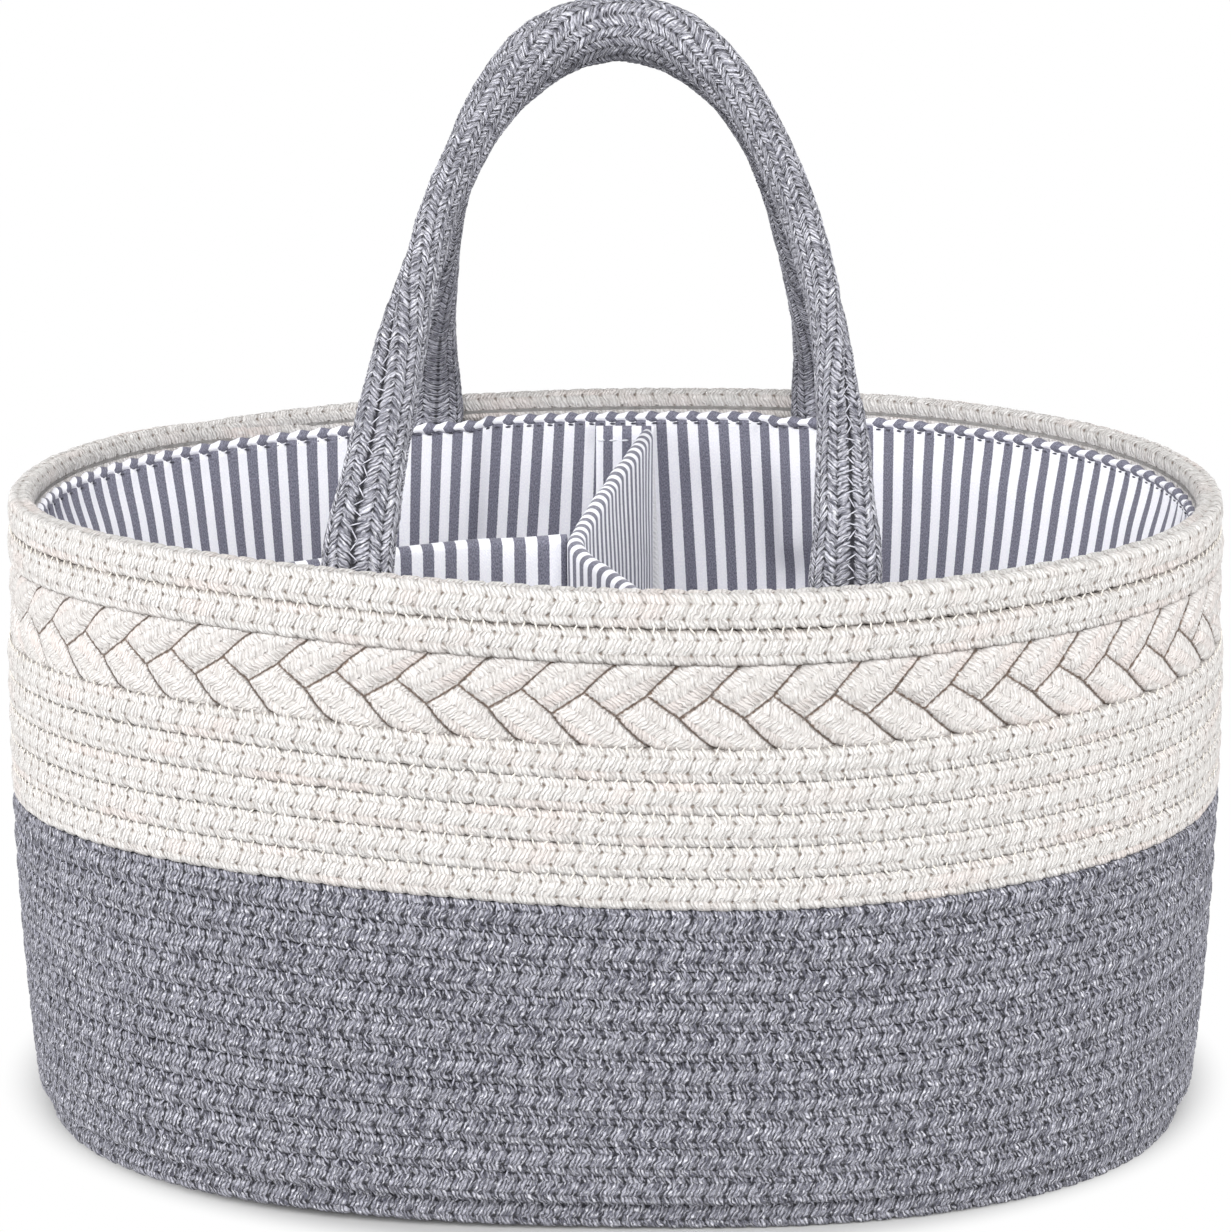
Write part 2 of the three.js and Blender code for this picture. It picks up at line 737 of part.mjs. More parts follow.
// Upright slab along a plan, of a half thickness, from low to high, with a rounded top or a flat one
function slab(curve, half, low, high, rounded) {
  const profile = [
    [-half, low],
    [half, low],
  ];
  if (rounded) {
    const arcSteps = 4;
    for (let i = 0; i <= arcSteps; i++) {
      const angle = (Math.PI * i) / arcSteps;
      profile.push([half * Math.cos(angle), high - half + half * Math.sin(angle)]);
    }
  } else {
    profile.push([half, high], [-half, high]);
  }
  const rings = [];
  for (let i = 0; i <= planSteps; i++) {
    const centre = curve.getPoint(i / planSteps);
    const tangent = curve.getTangent(i / planSteps);
    const across = new THREE.Vector3(tangent.y, -tangent.x, 0).normalize();
    rings.push(profile.map(([side, z]) => centre.clone().addScaledVector(across, side).setZ(z)));
  }
  return toManifold(skin(rings));
}

// Solid that fills the inside of the tub, set in from the wall and nowhere wider than the rim, so
// that what it bounds lifts out past the rim
function inside(inset) {
  const levels = Array.from({ length: insideLevels + 1 }, (_, i) => (rimTop * i) / insideLevels);
  const ringAt = (outline, z) =>
    Array.from({ length: loopSteps }, (_, step) => wallCorner(step, inset, outline).setZ(z));
  const tub = toManifold(skin(levels.map((z) => ringAt(z, z))));
  return tub.intersect(toManifold(skin([ringAt(rimTop, 0), ringAt(rimTop, rimTop)])));
}

// Where a panel's plan comes to the wall: the arc length there
function lengthWherePlanMeets(curve, fromEnd) {
  let best = 0;
  let least = Infinity;
  const samples = 400;
  for (let i = 0; i <= samples; i++) {
    const length = (rimGirth * i) / samples;
    const point = wallPoint(placeAt(length), panelEndInset, tabTop);
    for (let k = 0; k <= samples / 4; k++) {
      const share = k / samples;
      const on = curve.getPoint(fromEnd ? 1 - share : share);
      const distance = Math.hypot(on.x - point.x, on.y - point.y);
      if (distance < least) {
        least = distance;
        best = length;
      }
    }
  }
  return best;
}

function buildPanel(name, curve, cut) {
  const half = panelThick / 2;
  const low = floorTop + seatGap;
  const slotHalf = half - coverThick;
  let cover = slab(curve, half, low, panelTop, true).intersect(inside(panelEndInset));
  let slot = slab(curve, slotHalf, low - overrun, panelTop - half, false);
  let board = slab(curve, slotHalf - seatGap, low, panelTop - half - seatGap, false);
  slot = slot.intersect(inside(panelEndInset + sewnEnd));
  board = board.intersect(inside(panelEndInset + sewnEnd + seatGap));
  if (cut) {
    cover = cover.subtract(cut(seatGap));
    slot = slot.subtract(cut(seatGap + sewnEnd));
    board = board.subtract(cut(2 * seatGap + sewnEnd));
  }
  cover = cover.subtract(slot);
  return [
    piece(`${name}_cover`, fromManifold(cover), materials.stripedCotton),
    piece(`${name}_board`, fromManifold(board), materials.board),
  ];
}

function buildDivider() {
  const cross = planCurve(crossPlanShares);
  const side = planCurve(sidePlanShares);
  const group = new THREE.Group();
  group.add(...buildPanel('cross_panel', cross, null));
  const crossCut = (margin) => slab(cross, panelThick / 2 + margin, -overrun, panelTop + overrun, false);
  group.add(...buildPanel('side_panel', side, crossCut));
  const ends = [
    ['back', lengthWherePlanMeets(cross, false)],
    ['front', lengthWherePlanMeets(cross, true)],
    ['side', lengthWherePlanMeets(side, true)],
  ];
  const patches = [];
  for (const [name, length] of ends) {
    const start = length - panelThick / 2;
    const tabInsets = [tabOuter, tabOuter + tabThick];
    const tab = wallPlate(start, start + tabWidth, tabInsets, [tabBottom, tabTop], true);
    group.add(piece(`${name}_tab`, tab, materials.stripedCotton));
    const edge = start + (tabWidth - patchWidth) / 2;
    const patchLevels = [tabBottom + patchMargin, tabTop - patchMargin];
    const patch = wallPlate(edge, edge + patchWidth, [patchOuter, patchOuter + patchThick], patchLevels);
    patches.push(piece(`${name}_loop_patch`, patch, materials.touchTape));
  }
  return { group, patches };
}

const caddy = new THREE.Group();
caddy.add(buildBaseCoil());
caddy.add(buildWinding('wall_grey', wallBottom, greyCourses, ropePitch, materials.greyRope));
caddy.add(buildWinding('wall_cream', greyTop, creamCourses, ropePitch, materials.creamRope));
for (let strand = 0; strand < strandCount; strand++) caddy.add(buildStrand(strand));
caddy.add(buildWinding('rim_rope', plaitTop, rimCourses, rimPitch, materials.creamRope));
caddy.add(...buildLining());
for (const handle of handles) {
  layOutHandle(handle);
  for (const foot of handle.feet) {
    caddy.add(buildTail(`${handle.name}_${foot.hand < 0 ? 'left' : 'right'}_tail`, foot));
  }
  caddy.add(buildHandle(handle));
  const [, y, z] = handle.hinge.toArray();
  console.log(`${handle.name}: folds over the rim about y ${y.toFixed(2)}, z ${z.toFixed(2)} mm`);
}
const divider = buildDivider();
caddy.add(divider.group, ...divider.patches);

export default caddy;
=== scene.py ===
import math

import bpy
import numpy as np
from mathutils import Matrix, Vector, noise


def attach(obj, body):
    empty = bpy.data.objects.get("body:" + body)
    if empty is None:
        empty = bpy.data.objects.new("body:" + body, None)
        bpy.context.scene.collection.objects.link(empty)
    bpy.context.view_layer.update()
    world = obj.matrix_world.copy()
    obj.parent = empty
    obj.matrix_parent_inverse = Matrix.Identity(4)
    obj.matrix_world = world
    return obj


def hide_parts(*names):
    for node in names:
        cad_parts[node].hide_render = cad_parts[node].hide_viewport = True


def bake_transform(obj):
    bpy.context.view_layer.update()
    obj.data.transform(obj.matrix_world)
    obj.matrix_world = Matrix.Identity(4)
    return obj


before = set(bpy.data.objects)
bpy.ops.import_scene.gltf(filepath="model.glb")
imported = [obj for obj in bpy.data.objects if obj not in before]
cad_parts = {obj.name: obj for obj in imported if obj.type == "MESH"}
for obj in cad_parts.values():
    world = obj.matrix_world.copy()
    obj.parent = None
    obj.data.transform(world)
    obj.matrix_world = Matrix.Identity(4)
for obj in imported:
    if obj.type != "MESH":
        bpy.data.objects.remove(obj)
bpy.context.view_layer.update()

# The tub's plan, as the frame has it: a superellipse drawn in towards the base and swelling at half height
tub = {
    "halfLength": 0.189,
    "halfWidth": 0.1294,
    "baseInsetLength": 0.002,
    "baseInsetWidth": 0.0066,
    "swell": 0.0038,
    "rimExponent": 2.1,
    "baseExponent": 2.6,
    "tilt": 0.0017,
    "startTurn": 0.25,
}
rope = {
    "thick": 0.0076,
    "pitch": 0.00965,
    "rimPitch": 0.0102,
    "greyCourses": 11,
    "creamCourses": 5,
    "rimCourses": 2,
    "wallBottom": 0.0012,
    "plaitHeight": 0.024,
    "climbTurn": 1 / 6,
    "endSink": 0.24,
    "footTuck": 0.0075,
    "footHeight": 0.0175,
}
lining = {
    "thick": 0.002,
    "clothShare": 0.6,
    "seat": 0.0003,
    "top": 0.1902,
    "pocketDepth": 0.0048,
    "pocketRamp": 0.009,
    "stripes": 131,
}
# How far the hand-wound courses rise or fall round the tub, in millimetres at angles in its plan, and the
# share of that at each height
wander = {
    "rises": [
        (0, -1.6), (30, 0.6), (50, 1.8), (70, 1.4), (90, 0), (110, -1.4), (130, -2.4), (150, -2.2),
        (180, -1.2), (198, 0.9), (209, 2.9), (223, 4.5), (233, 4.8), (242, 4.3), (251, 2.8), (260, 0.9),
        (270, -1.1), (280, -2.4), (288, -3.1), (300, -2.7), (310, -2.1), (334, -2.0),
    ],
    "heightShares": [(0, 0.25), (0.02, 0.5), (0.055, 0.9), (0.107, 1), (0.16, 1.05), (0.18, 0.8), (0.2, 0.6)],
    "smoothing": 12,
}
greyTop = rope["wallBottom"] + rope["greyCourses"] * rope["pitch"]
creamTop = greyTop + rope["creamCourses"] * rope["pitch"]
plaitTop = creamTop + rope["plaitHeight"]
rimTop = plaitTop + rope["rimCourses"] * rope["rimPitch"]
liningOuter = rope["thick"] + lining["seat"]
liningInner = liningOuter + lining["thick"]
floorTop = liningInner


# The wall's outer face, and its normal, at an angle in the tub's plan
def planAt(angle, z):
    angle, z = np.broadcast_arrays(np.asarray(angle, float), np.asarray(z, float))
    rise = np.clip(z / rimTop, 0, 1)
    swell = tub["swell"] * 4 * rise * (1 - rise)
    halfLength = tub["halfLength"] - tub["baseInsetLength"] * (1 - rise) + swell
    halfWidth = tub["halfWidth"] - tub["baseInsetWidth"] * (1 - rise) + swell
    exponent = tub["baseExponent"] + (tub["rimExponent"] - tub["baseExponent"]) * rise
    across, along = np.cos(angle), np.sin(angle)
    shareX = np.sign(across) * np.abs(across) ** (2 / exponent)
    shareY = np.sign(along) * np.abs(along) ** (2 / exponent)
    normal = np.stack(
        [
            np.sign(shareX) * np.abs(shareX) ** (exponent - 1) / halfLength,
            np.sign(shareY) * np.abs(shareY) ** (exponent - 1) / halfWidth,
            np.zeros_like(shareX),
        ],
        -1,
    )
    normal /= np.linalg.norm(normal, axis=-1, keepdims=True)
    point = np.stack([halfLength * shareX, halfWidth * shareY, z], -1)
    return point, normal


# A place that lies inset from the wall's outer face
def wallAt(angle, inset, z):
    point, normal = planAt(angle, z)
    return point - normal * np.broadcast_to(np.asarray(inset, float), point.shape[:-1])[..., None]


def wanderTable():
    given = np.array(wander["rises"], float)
    rough = np.interp(np.arange(-360, 720), given[:, 0], given[:, 1], period=360)
    window = np.hanning(2 * wander["smoothing"] + 1)
    return np.convolve(rough, window / window.sum(), "same")[360:720] / 1000


wanderRises = wanderTable()


# Points of the basket where its hand-wound courses really lie
def tilted(points):
    height = np.sin(np.pi * np.clip(points[..., 2] / rimTop, 0, 1))
    lifted = points.copy()
    direction = np.degrees(np.arctan2(points[..., 1] / tub["halfWidth"], points[..., 0] / tub["halfLength"]))
    rise = np.interp(direction, np.arange(360), wanderRises, period=360)
    rise = rise * np.interp(points[..., 2], *np.array(wander["heightShares"]).T)
    lifted[..., 2] += tub["tilt"] * points[..., 0] / tub["halfLength"] * height + rise
    return lifted


# Angle round the tub against the length along its lining
girthAngles = np.linspace(0, 2 * np.pi, 5761)
girthPoints = wallAt(girthAngles, liningInner, rimTop * 0.9)


def lengthsAlong(points):
    return np.concatenate([[0], np.cumsum(np.linalg.norm(np.diff(points, axis=0), axis=1))])


girthLengths = lengthsAlong(girthPoints)
girth = float(girthLengths[-1])
stripePeriod = girth / lining["stripes"]


def angleAt(length):
    turns = np.floor(np.asarray(length, float) / girth)
    return np.interp(length - turns * girth, girthLengths, girthAngles) + turns * 2 * np.pi


def lengthAtX(x, side):
    half = (girthPoints[:, 1] * side) >= 0
    order = np.argsort(girthPoints[half, 0])
    return float(np.interp(x, girthPoints[half, 0][order], girthLengths[half][order]))


def evenly(points, spacing, *columns):
    lengths = lengthsAlong(points)
    places = np.linspace(0, lengths[-1], max(2, int(round(lengths[-1] / spacing)) + 1))
    even = np.stack([np.interp(places, lengths, points[:, k]) for k in range(3)], -1)
    return (even, places) + tuple(np.interp(places, lengths, column) for column in columns)


def smoothstep(low, high, value):
    share = np.clip((np.asarray(value, float) - low) / (high - low), 0, 1)
    return share * share * (3 - 2 * share)


# Meshes from points
def addAttributes(mesh, attributes):
    for name, values in attributes.items():
        values = np.asarray(values, float)
        kind, key = ("FLOAT_VECTOR", "vector") if values.ndim == 2 else ("FLOAT", "value")
        mesh.attributes.new(name, kind, "POINT").data.foreach_set(key, values.ravel())


def pathMesh(name, points, **attributes):
    mesh = bpy.data.meshes.new(name)
    mesh.from_pydata(points.tolist(), [(i, i + 1) for i in range(len(points) - 1)], [])
    addAttributes(mesh, attributes)
    return mesh


def gridMesh(name, rows, around=False, closed=False, capped=False, **attributes):
    count, sides = rows.shape[:2]
    faces = []
    for i in range(count if closed else count - 1):
        here, there = i * sides, ((i + 1) % count) * sides
        for j in range(sides if around else sides - 1):
            after = (j + 1) % sides
            faces.append((here + j, here + after, there + after, there + j))
    if capped:
        faces.append(tuple(reversed(range(sides))))
        faces.append(tuple(range((count - 1) * sides, count * sides)))
    mesh = bpy.data.meshes.new(name)
    mesh.from_pydata(rows.reshape(-1, 3).tolist(), [], faces)
    spread = {key: np.broadcast_to(value, (count, sides)).ravel() for key, value in attributes.items()}
    addAttributes(mesh, spread)
    mesh.polygons.foreach_set("use_smooth", [True] * len(mesh.polygons))
    return mesh


def addPiece(name, mesh, material=None):
    piece = bpy.data.objects.new(name, mesh)
    bpy.context.scene.collection.objects.link(piece)
    if material:
        mesh.materials.clear()
        mesh.materials.append(material)
    return piece


def facingOut(mesh):
    corners = np.empty(len(mesh.vertices) * 3)
    mesh.vertices.foreach_get("co", corners)
    corners = corners.reshape(-1, 3)
    mesh.calc_loop_triangles()
    triangles = np.empty(len(mesh.loop_triangles) * 3, int)
    mesh.loop_triangles.foreach_get("vertices", triangles)
    a, b, c = corners[triangles.reshape(-1, 3)].transpose(1, 0, 2)
    if np.einsum("ij,ij->i", a, np.cross(b, c)).sum() < 0:
        mesh.flip_normals()
    return mesh


def applyModifiers(piece):
    evaluated = piece.evaluated_get(bpy.context.evaluated_depsgraph_get())
    finished = bpy.data.meshes.new_from_object(evaluated)
    finished.name = piece.name
    piece.modifiers.clear()
    piece.data = finished
    return piece


# Soft noise at every point of a grid
def softField(points, scale, seed):
    shift = Vector((seed, seed * 0.37, -seed))
    values = [noise.noise(Vector(point) * scale + shift) for point in points.reshape(-1, 3)]
    return np.array(values).reshape(points.shape[:-1])


# Node trees: small helpers that both Geometry Nodes and materials use
def wire(tree, source, socket):
    if isinstance(source, bpy.types.NodeSocket):
        tree.links.new(source, socket)
    else:
        socket.default_value = source


# A node with its options set, and each named input wired to a socket or given a plain value
def addNode(tree, kind, inputs=None, **options):
    node = tree.nodes.new(kind)
    for name, option in options.items():
        setattr(node, name, option)
    for name, source in (inputs or {}).items():
        wire(tree, source, node.inputs[name])
    return node


def calc(tree, operation, *values):
    return addNode(tree, "ShaderNodeMath", dict(enumerate(values)), operation=operation).outputs[0]


def times(tree, first, second):
    return calc(tree, "MULTIPLY", first, second)


def plus(tree, first, second):
    return calc(tree, "ADD", first, second)


def minus(tree, first, second):
    return calc(tree, "SUBTRACT", first, second)


def over(tree, first, second):
    return calc(tree, "DIVIDE", first, second)


def absolute(tree, value):
    return calc(tree, "ABSOLUTE", value)


def fraction(tree, value):
    return calc(tree, "FRACT", value)


def floor(tree, value):
    return calc(tree, "FLOOR", value)


def vectorCalc(tree, operation, first, second=None, scale=None):
    given = {0: first, 1: second, "Scale": scale}
    given = {name: value for name, value in given.items() if value is not None}
    node = addNode(tree, "ShaderNodeVectorMath", given, operation=operation)
    return node.outputs["Value" if operation == "LENGTH" else "Vector"]


def combine(tree, x, y, z):
    return addNode(tree, "ShaderNodeCombineXYZ", {0: x, 1: y, 2: z}).outputs[0]


def ramp(tree, value, low, high):
    given = {"Value": value, "From Min": low, "From Max": high}
    return addNode(tree, "ShaderNodeMapRange", given, interpolation_type="SMOOTHSTEP").outputs["Result"]


def noiseValue(tree, x, y, z, detail, roughness=0.5):
    given = {"Scale": 1.0, "Detail": detail, "Roughness": roughness, "Vector": combine(tree, x, y, z)}
    return addNode(tree, "ShaderNodeTexNoise", given).outputs[0]


def newTree(name, kind, inputs, outputs):
    tree = bpy.data.node_groups.new(name, kind)
    for label, socketType, default in inputs:
        socket = tree.interface.new_socket(label, in_out="INPUT", socket_type=socketType)
        if default is not None:
            socket.default_value = default
    for label, socketType in outputs:
        tree.interface.new_socket(label, in_out="OUTPUT", socket_type=socketType)
    return tree, tree.nodes.new("NodeGroupInput").outputs, tree.nodes.new("NodeGroupOutput").inputs


# A round braid's surface in columns: strands slant one way in every other column and the other way
# between, and a small hole lies where two of them part, which the materials darken as painted shade
def braidField(tree, along, across, pitch, column, slant):
    place = plus(tree, over(tree, across, column), 0.5)
    number = floor(tree, place)
    within = minus(tree, minus(tree, place, number), 0.5)
    odd = calc(tree, "FLOORED_MODULO", number, 2.0)
    turn = minus(tree, 1.0, times(tree, odd, 2.0))
    lean = times(tree, times(tree, turn, slant), within)
    phase = minus(tree, over(tree, along, pitch), lean)
    fromGap = absolute(tree, minus(tree, fraction(tree, plus(tree, phase, 0.5)), 0.5))
    gap = times(tree, fromGap, pitch)
    edge = times(tree, minus(tree, 0.5, absolute(tree, within)), column)
    return {"phase": phase, "number": number, "gap": gap, "edge": edge}


def hump(tree, distance, width):
    left = minus(tree, 1.0, calc(tree, "MINIMUM", over(tree, distance, width), 1.0))
    return minus(tree, 1.0, times(tree, left, left))


def namedValue(tree, name, kind="FLOAT"):
    node = addNode(tree, "GeometryNodeInputNamedAttribute", {"Name": name}, data_type=kind)
    return node.outputs["Attribute"]


def storeValue(tree, geometry, name, value):
    given = {"Geometry": geometry, "Name": name, "Value": value}
    node = addNode(tree, "GeometryNodeStoreNamedAttribute", given, data_type="FLOAT", domain="POINT")
    return node.outputs["Geometry"]


geometryOut = [("Geometry", "NodeSocketGeometry")]
geometryIn = [("Geometry", "NodeSocketGeometry", None)]
lumps = {"Scale": 160.0, "Detail": 2.0}
pillowShare = 0.75  # how far a strand is a round pillow; the rest of the relief adds its two humps
reliefInputs = [
    ("Strand Pitch", "NodeSocketFloat", 0.0062),
    ("Column Width", "NodeSocketFloat", 0.0045),
    ("Slant", "NodeSocketFloat", 0.3),
    ("Relief", "NodeSocketFloat", 0.0005),
    ("Round Over", "NodeSocketFloat", 0.0014),
    ("Unevenness", "NodeSocketFloat", 0.0006),
    ("Material", "NodeSocketMaterial", None),
]


def addReliefGroup():
    inputs = geometryIn + reliefInputs[:-1]
    tree, given, result = newTree("braid relief", "GeometryNodeTree", inputs, geometryOut)
    along, across = namedValue(tree, "along"), namedValue(tree, "across")
    field = braidField(tree, along, across, given["Strand Pitch"], given["Column Width"], given["Slant"])
    strand = hump(tree, field["gap"], given["Round Over"])
    row = hump(tree, field["edge"], given["Round Over"])
    both = times(tree, times(tree, strand, row), pillowShare)
    mixed = plus(tree, both, times(tree, plus(tree, strand, row), 1 - pillowShare))
    height = times(tree, minus(tree, mixed, 1.0), given["Relief"])
    position = addNode(tree, "GeometryNodeInputPosition").outputs[0]
    uneven = addNode(tree, "ShaderNodeTexNoise", dict(lumps, Vector=position)).outputs[0]
    height = plus(tree, height, times(tree, minus(tree, uneven, 0.5), given["Unevenness"]))
    normal = addNode(tree, "GeometryNodeInputNormal").outputs[0]
    move = vectorCalc(tree, "SCALE", normal, scale=height)
    moved = addNode(tree, "GeometryNodeSetPosition", {"Geometry": given["Geometry"], "Offset": move})
    tree.links.new(moved.outputs[0], result["Geometry"])
    return tree


def finishTree(tree, geometry, given, result):
    smooth = addNode(tree, "GeometryNodeSetShadeSmooth", {"Geometry": geometry})
    real = addNode(tree, "GeometryNodeRealizeInstances", {"Geometry": smooth.outputs[0]})
    painted = {"Geometry": real.outputs[0], "Material": given["Material"]}
    tree.links.new(addNode(tree, "GeometryNodeSetMaterial", painted).outputs[0], result["Geometry"])


def placeRelief(tree, geometry, given, relief):
    inputs = {name: given[name] for name, _, _ in reliefInputs[:-1]}
    inputs["Geometry"] = geometry
    return addNode(tree, "GeometryNodeGroup", inputs, node_tree=relief).outputs["Geometry"]


# Braided rope along a path: a squarish section, denser on its outer side, with the braid in relief
def addRopeTree(relief):
    inputs = geometryIn + [
        ("Half Across", "NodeSocketFloat", 0.0038),
        ("Half Up", "NodeSocketFloat", 0.0048),
        ("Squareness", "NodeSocketFloat", 2.8),
        ("Outer Detail", "NodeSocketFloat", 0.5),
        ("Sides", "NodeSocketInt", 16),
        ("Column Shift", "NodeSocketFloat", 0.0),
        ("Seam From", "NodeSocketFloat", 0.0046),
        ("Seam To", "NodeSocketFloat", 0.0054),
        ("Seam Wide", "NodeSocketFloat", 0.0016),
        ("Seam Fade", "NodeSocketFloat", 0.0008),
    ] + reliefInputs
    tree, given, result = newTree("braided rope", "GeometryNodeTree", inputs, geometryOut)
    curve = addNode(tree, "GeometryNodeMeshToCurve", {"Mesh": given["Geometry"]})
    upright = addNode(tree, "GeometryNodeSetCurveNormal", {"Curve": curve.outputs[0]}, mode="Z_UP")
    outline = addNode(tree, "GeometryNodeCurvePrimitiveCircle", {"Resolution": 96})
    plain = times(tree, addNode(tree, "GeometryNodeSplineParameter").outputs["Factor"], 2 * math.pi)
    power = over(tree, 2.0, given["Squareness"])
    places = []
    for function, half in (("COSINE", given["Half Across"]), ("SINE", given["Half Up"])):
        share = calc(tree, function, plain)
        bent = calc(tree, "POWER", absolute(tree, share), power)
        places.append(times(tree, times(tree, calc(tree, "SIGN", share), bent), half))
    squared = addNode(tree, "GeometryNodeSetPosition", {
        "Geometry": outline.outputs["Curve"],
        "Position": combine(tree, *places, 0.0),
    })
    circle = addNode(tree, "GeometryNodeCurvePrimitiveCircle", {"Resolution": given["Sides"]})
    factor = addNode(tree, "GeometryNodeSplineParameter").outputs["Factor"]
    swing = calc(tree, "SINE", times(tree, factor, 2 * math.pi))
    swing = times(tree, times(tree, swing, given["Outer Detail"]), 1 / (2 * math.pi))
    sample = addNode(tree, "GeometryNodeSampleCurve", {
        "Curves": squared.outputs[0],
        "Factor": minus(tree, factor, swing),
    }, mode="FACTOR")
    section = addNode(tree, "GeometryNodeSetPosition", {
        "Geometry": circle.outputs["Curve"],
        "Position": sample.outputs["Position"],
    })
    run = addNode(tree, "GeometryNodeSplineParameter").outputs["Length"]
    whole = addNode(tree, "GeometryNodeSplineLength").outputs["Length"]
    past = calc(tree, "GREATER_THAN", run, times(tree, whole, 0.5))
    across = minus(tree, times(tree, whole, past), run)
    sweep = addNode(tree, "GeometryNodeCurveToMesh", {
        "Curve": upright.outputs[0],
        "Profile Curve": storeValue(tree, section.outputs[0], "across", across),
        "Scale": namedValue(tree, "taper"),
        "Fill Caps": True,
    })
    # The seam band, where the material paints shade: below each course, and above it only where another
    # course covers it
    across = namedValue(tree, "across")
    past = plus(tree, given["Seam To"], given["Seam Wide"])
    sides = []
    for side in (1.0, -1.0):
        place = times(tree, across, side)
        beyond = ramp(tree, place, past, plus(tree, past, given["Seam Fade"]))
        reached = ramp(tree, place, given["Seam From"], given["Seam To"])
        sides.append(times(tree, reached, minus(tree, 1.0, beyond)))
    seam = calc(tree, "MAXIMUM", times(tree, sides[0], namedValue(tree, "covered")), sides[1])
    seamed = storeValue(tree, sweep.outputs[0], "seam", seam)
    shifted = storeValue(tree, seamed, "across", minus(tree, across, given["Column Shift"]))
    finishTree(tree, placeRelief(tree, shifted, given, relief), given, result)
    return tree


# Braid in relief on a surface that carries its own lengths
def addCoverTree(relief):
    tree, given, result = newTree("braided cover", "GeometryNodeTree", geometryIn + reliefInputs, geometryOut)
    finishTree(tree, placeRelief(tree, given["Geometry"], given, relief), given, result)
    return tree


# Stitches along a seam: short threads that lean to and fro across it
def addStitchTree():
    inputs = geometryIn + [
        ("Spacing", "NodeSocketFloat", 0.0034),
        ("Length", "NodeSocketFloat", 0.0034),
        ("Thread", "NodeSocketFloat", 0.0004),
        ("Lean", "NodeSocketFloat", 0.6),
        ("Looseness", "NodeSocketFloat", 0.15),
        ("Seed", "NodeSocketInt", 4),
        ("Material", "NodeSocketMaterial", None),
    ]
    tree, given, result = newTree("seam stitches", "GeometryNodeTree", inputs, geometryOut)
    curve = addNode(tree, "GeometryNodeMeshToCurve", {"Mesh": given["Geometry"]})
    points = addNode(tree, "GeometryNodeCurveToPoints", {
        "Curve": curve.outputs[0],
        "Length": given["Spacing"],
    }, mode="LENGTH").outputs
    index = addNode(tree, "GeometryNodeInputIndex").outputs[0]
    side = minus(tree, times(tree, calc(tree, "FLOORED_MODULO", index, 2.0), 2.0), 1.0)
    loose = addNode(tree, "FunctionNodeRandomValue", {2: -1.0, 3: 1.0, "Seed": given["Seed"]}).outputs[1]
    lean = plus(tree, times(tree, side, given["Lean"]), times(tree, loose, given["Looseness"]))
    cross = namedValue(tree, "cross", "FLOAT_VECTOR")
    upward = vectorCalc(tree, "SCALE", cross, scale=calc(tree, "COSINE", lean))
    sideways = vectorCalc(tree, "SCALE", points["Tangent"], scale=calc(tree, "SINE", lean))
    direction = vectorCalc(tree, "ADD", upward, sideways)
    align = addNode(tree, "FunctionNodeAlignRotationToVector", {"Vector": direction}, axis="Z")
    thread = addNode(tree, "GeometryNodeMeshIcoSphere", {"Subdivisions": 1, "Radius": 1.0})
    place = addNode(tree, "GeometryNodeInstanceOnPoints", {
        "Points": points["Points"],
        "Instance": thread.outputs["Mesh"],
        "Rotation": align.outputs[0],
        "Scale": combine(tree, given["Thread"], given["Thread"], times(tree, given["Length"], 0.5)),
    })
    finishTree(tree, place.outputs[0], given, result)
    return tree


def shapeWithNodes(name, mesh, tree, values):
    piece = addPiece(name, mesh)
    modifier = piece.modifiers.new("Shape", "NODES")
    modifier.node_group = tree
    for item in tree.interface.items_tree:
        if item.in_out == "INPUT" and item.name in values:
            modifier[item.identifier] = values[item.name]
    return applyModifiers(piece)


# Effects that several materials share, as node groups
def effectGroup(name, numbers, results):
    inputs = [(label, "NodeSocketFloat", value) for label, value in numbers.items()]
    return newTree(name, "ShaderNodeTree", inputs, [(label, "NodeSocketFloat") for label in results])


# How fine the yarn's noises are along and across the braid; streaks and flecks run along the plies
yarnNoise = {
    "rough": (1100.0, 1100.0),
    "wobble": (700.0, 500.0),
    "wobbleShare": 1.5,
    "strandShare": 0.8,
    "wobbleLayer": 2.1,
    "streak": (1.1, 330.0),
    "fleck": (2.1, 620.0),
    "fleckLayer": 3.7,
    "patch": (32.0, 0.6),
    "edgeHole": 1.3,
    "edgeGroove": 0.7,
}


# Two values, each times its own scale
def scaled(tree, x, y, scales):
    return [times(tree, value, scale) for value, scale in zip((x, y), scales)]
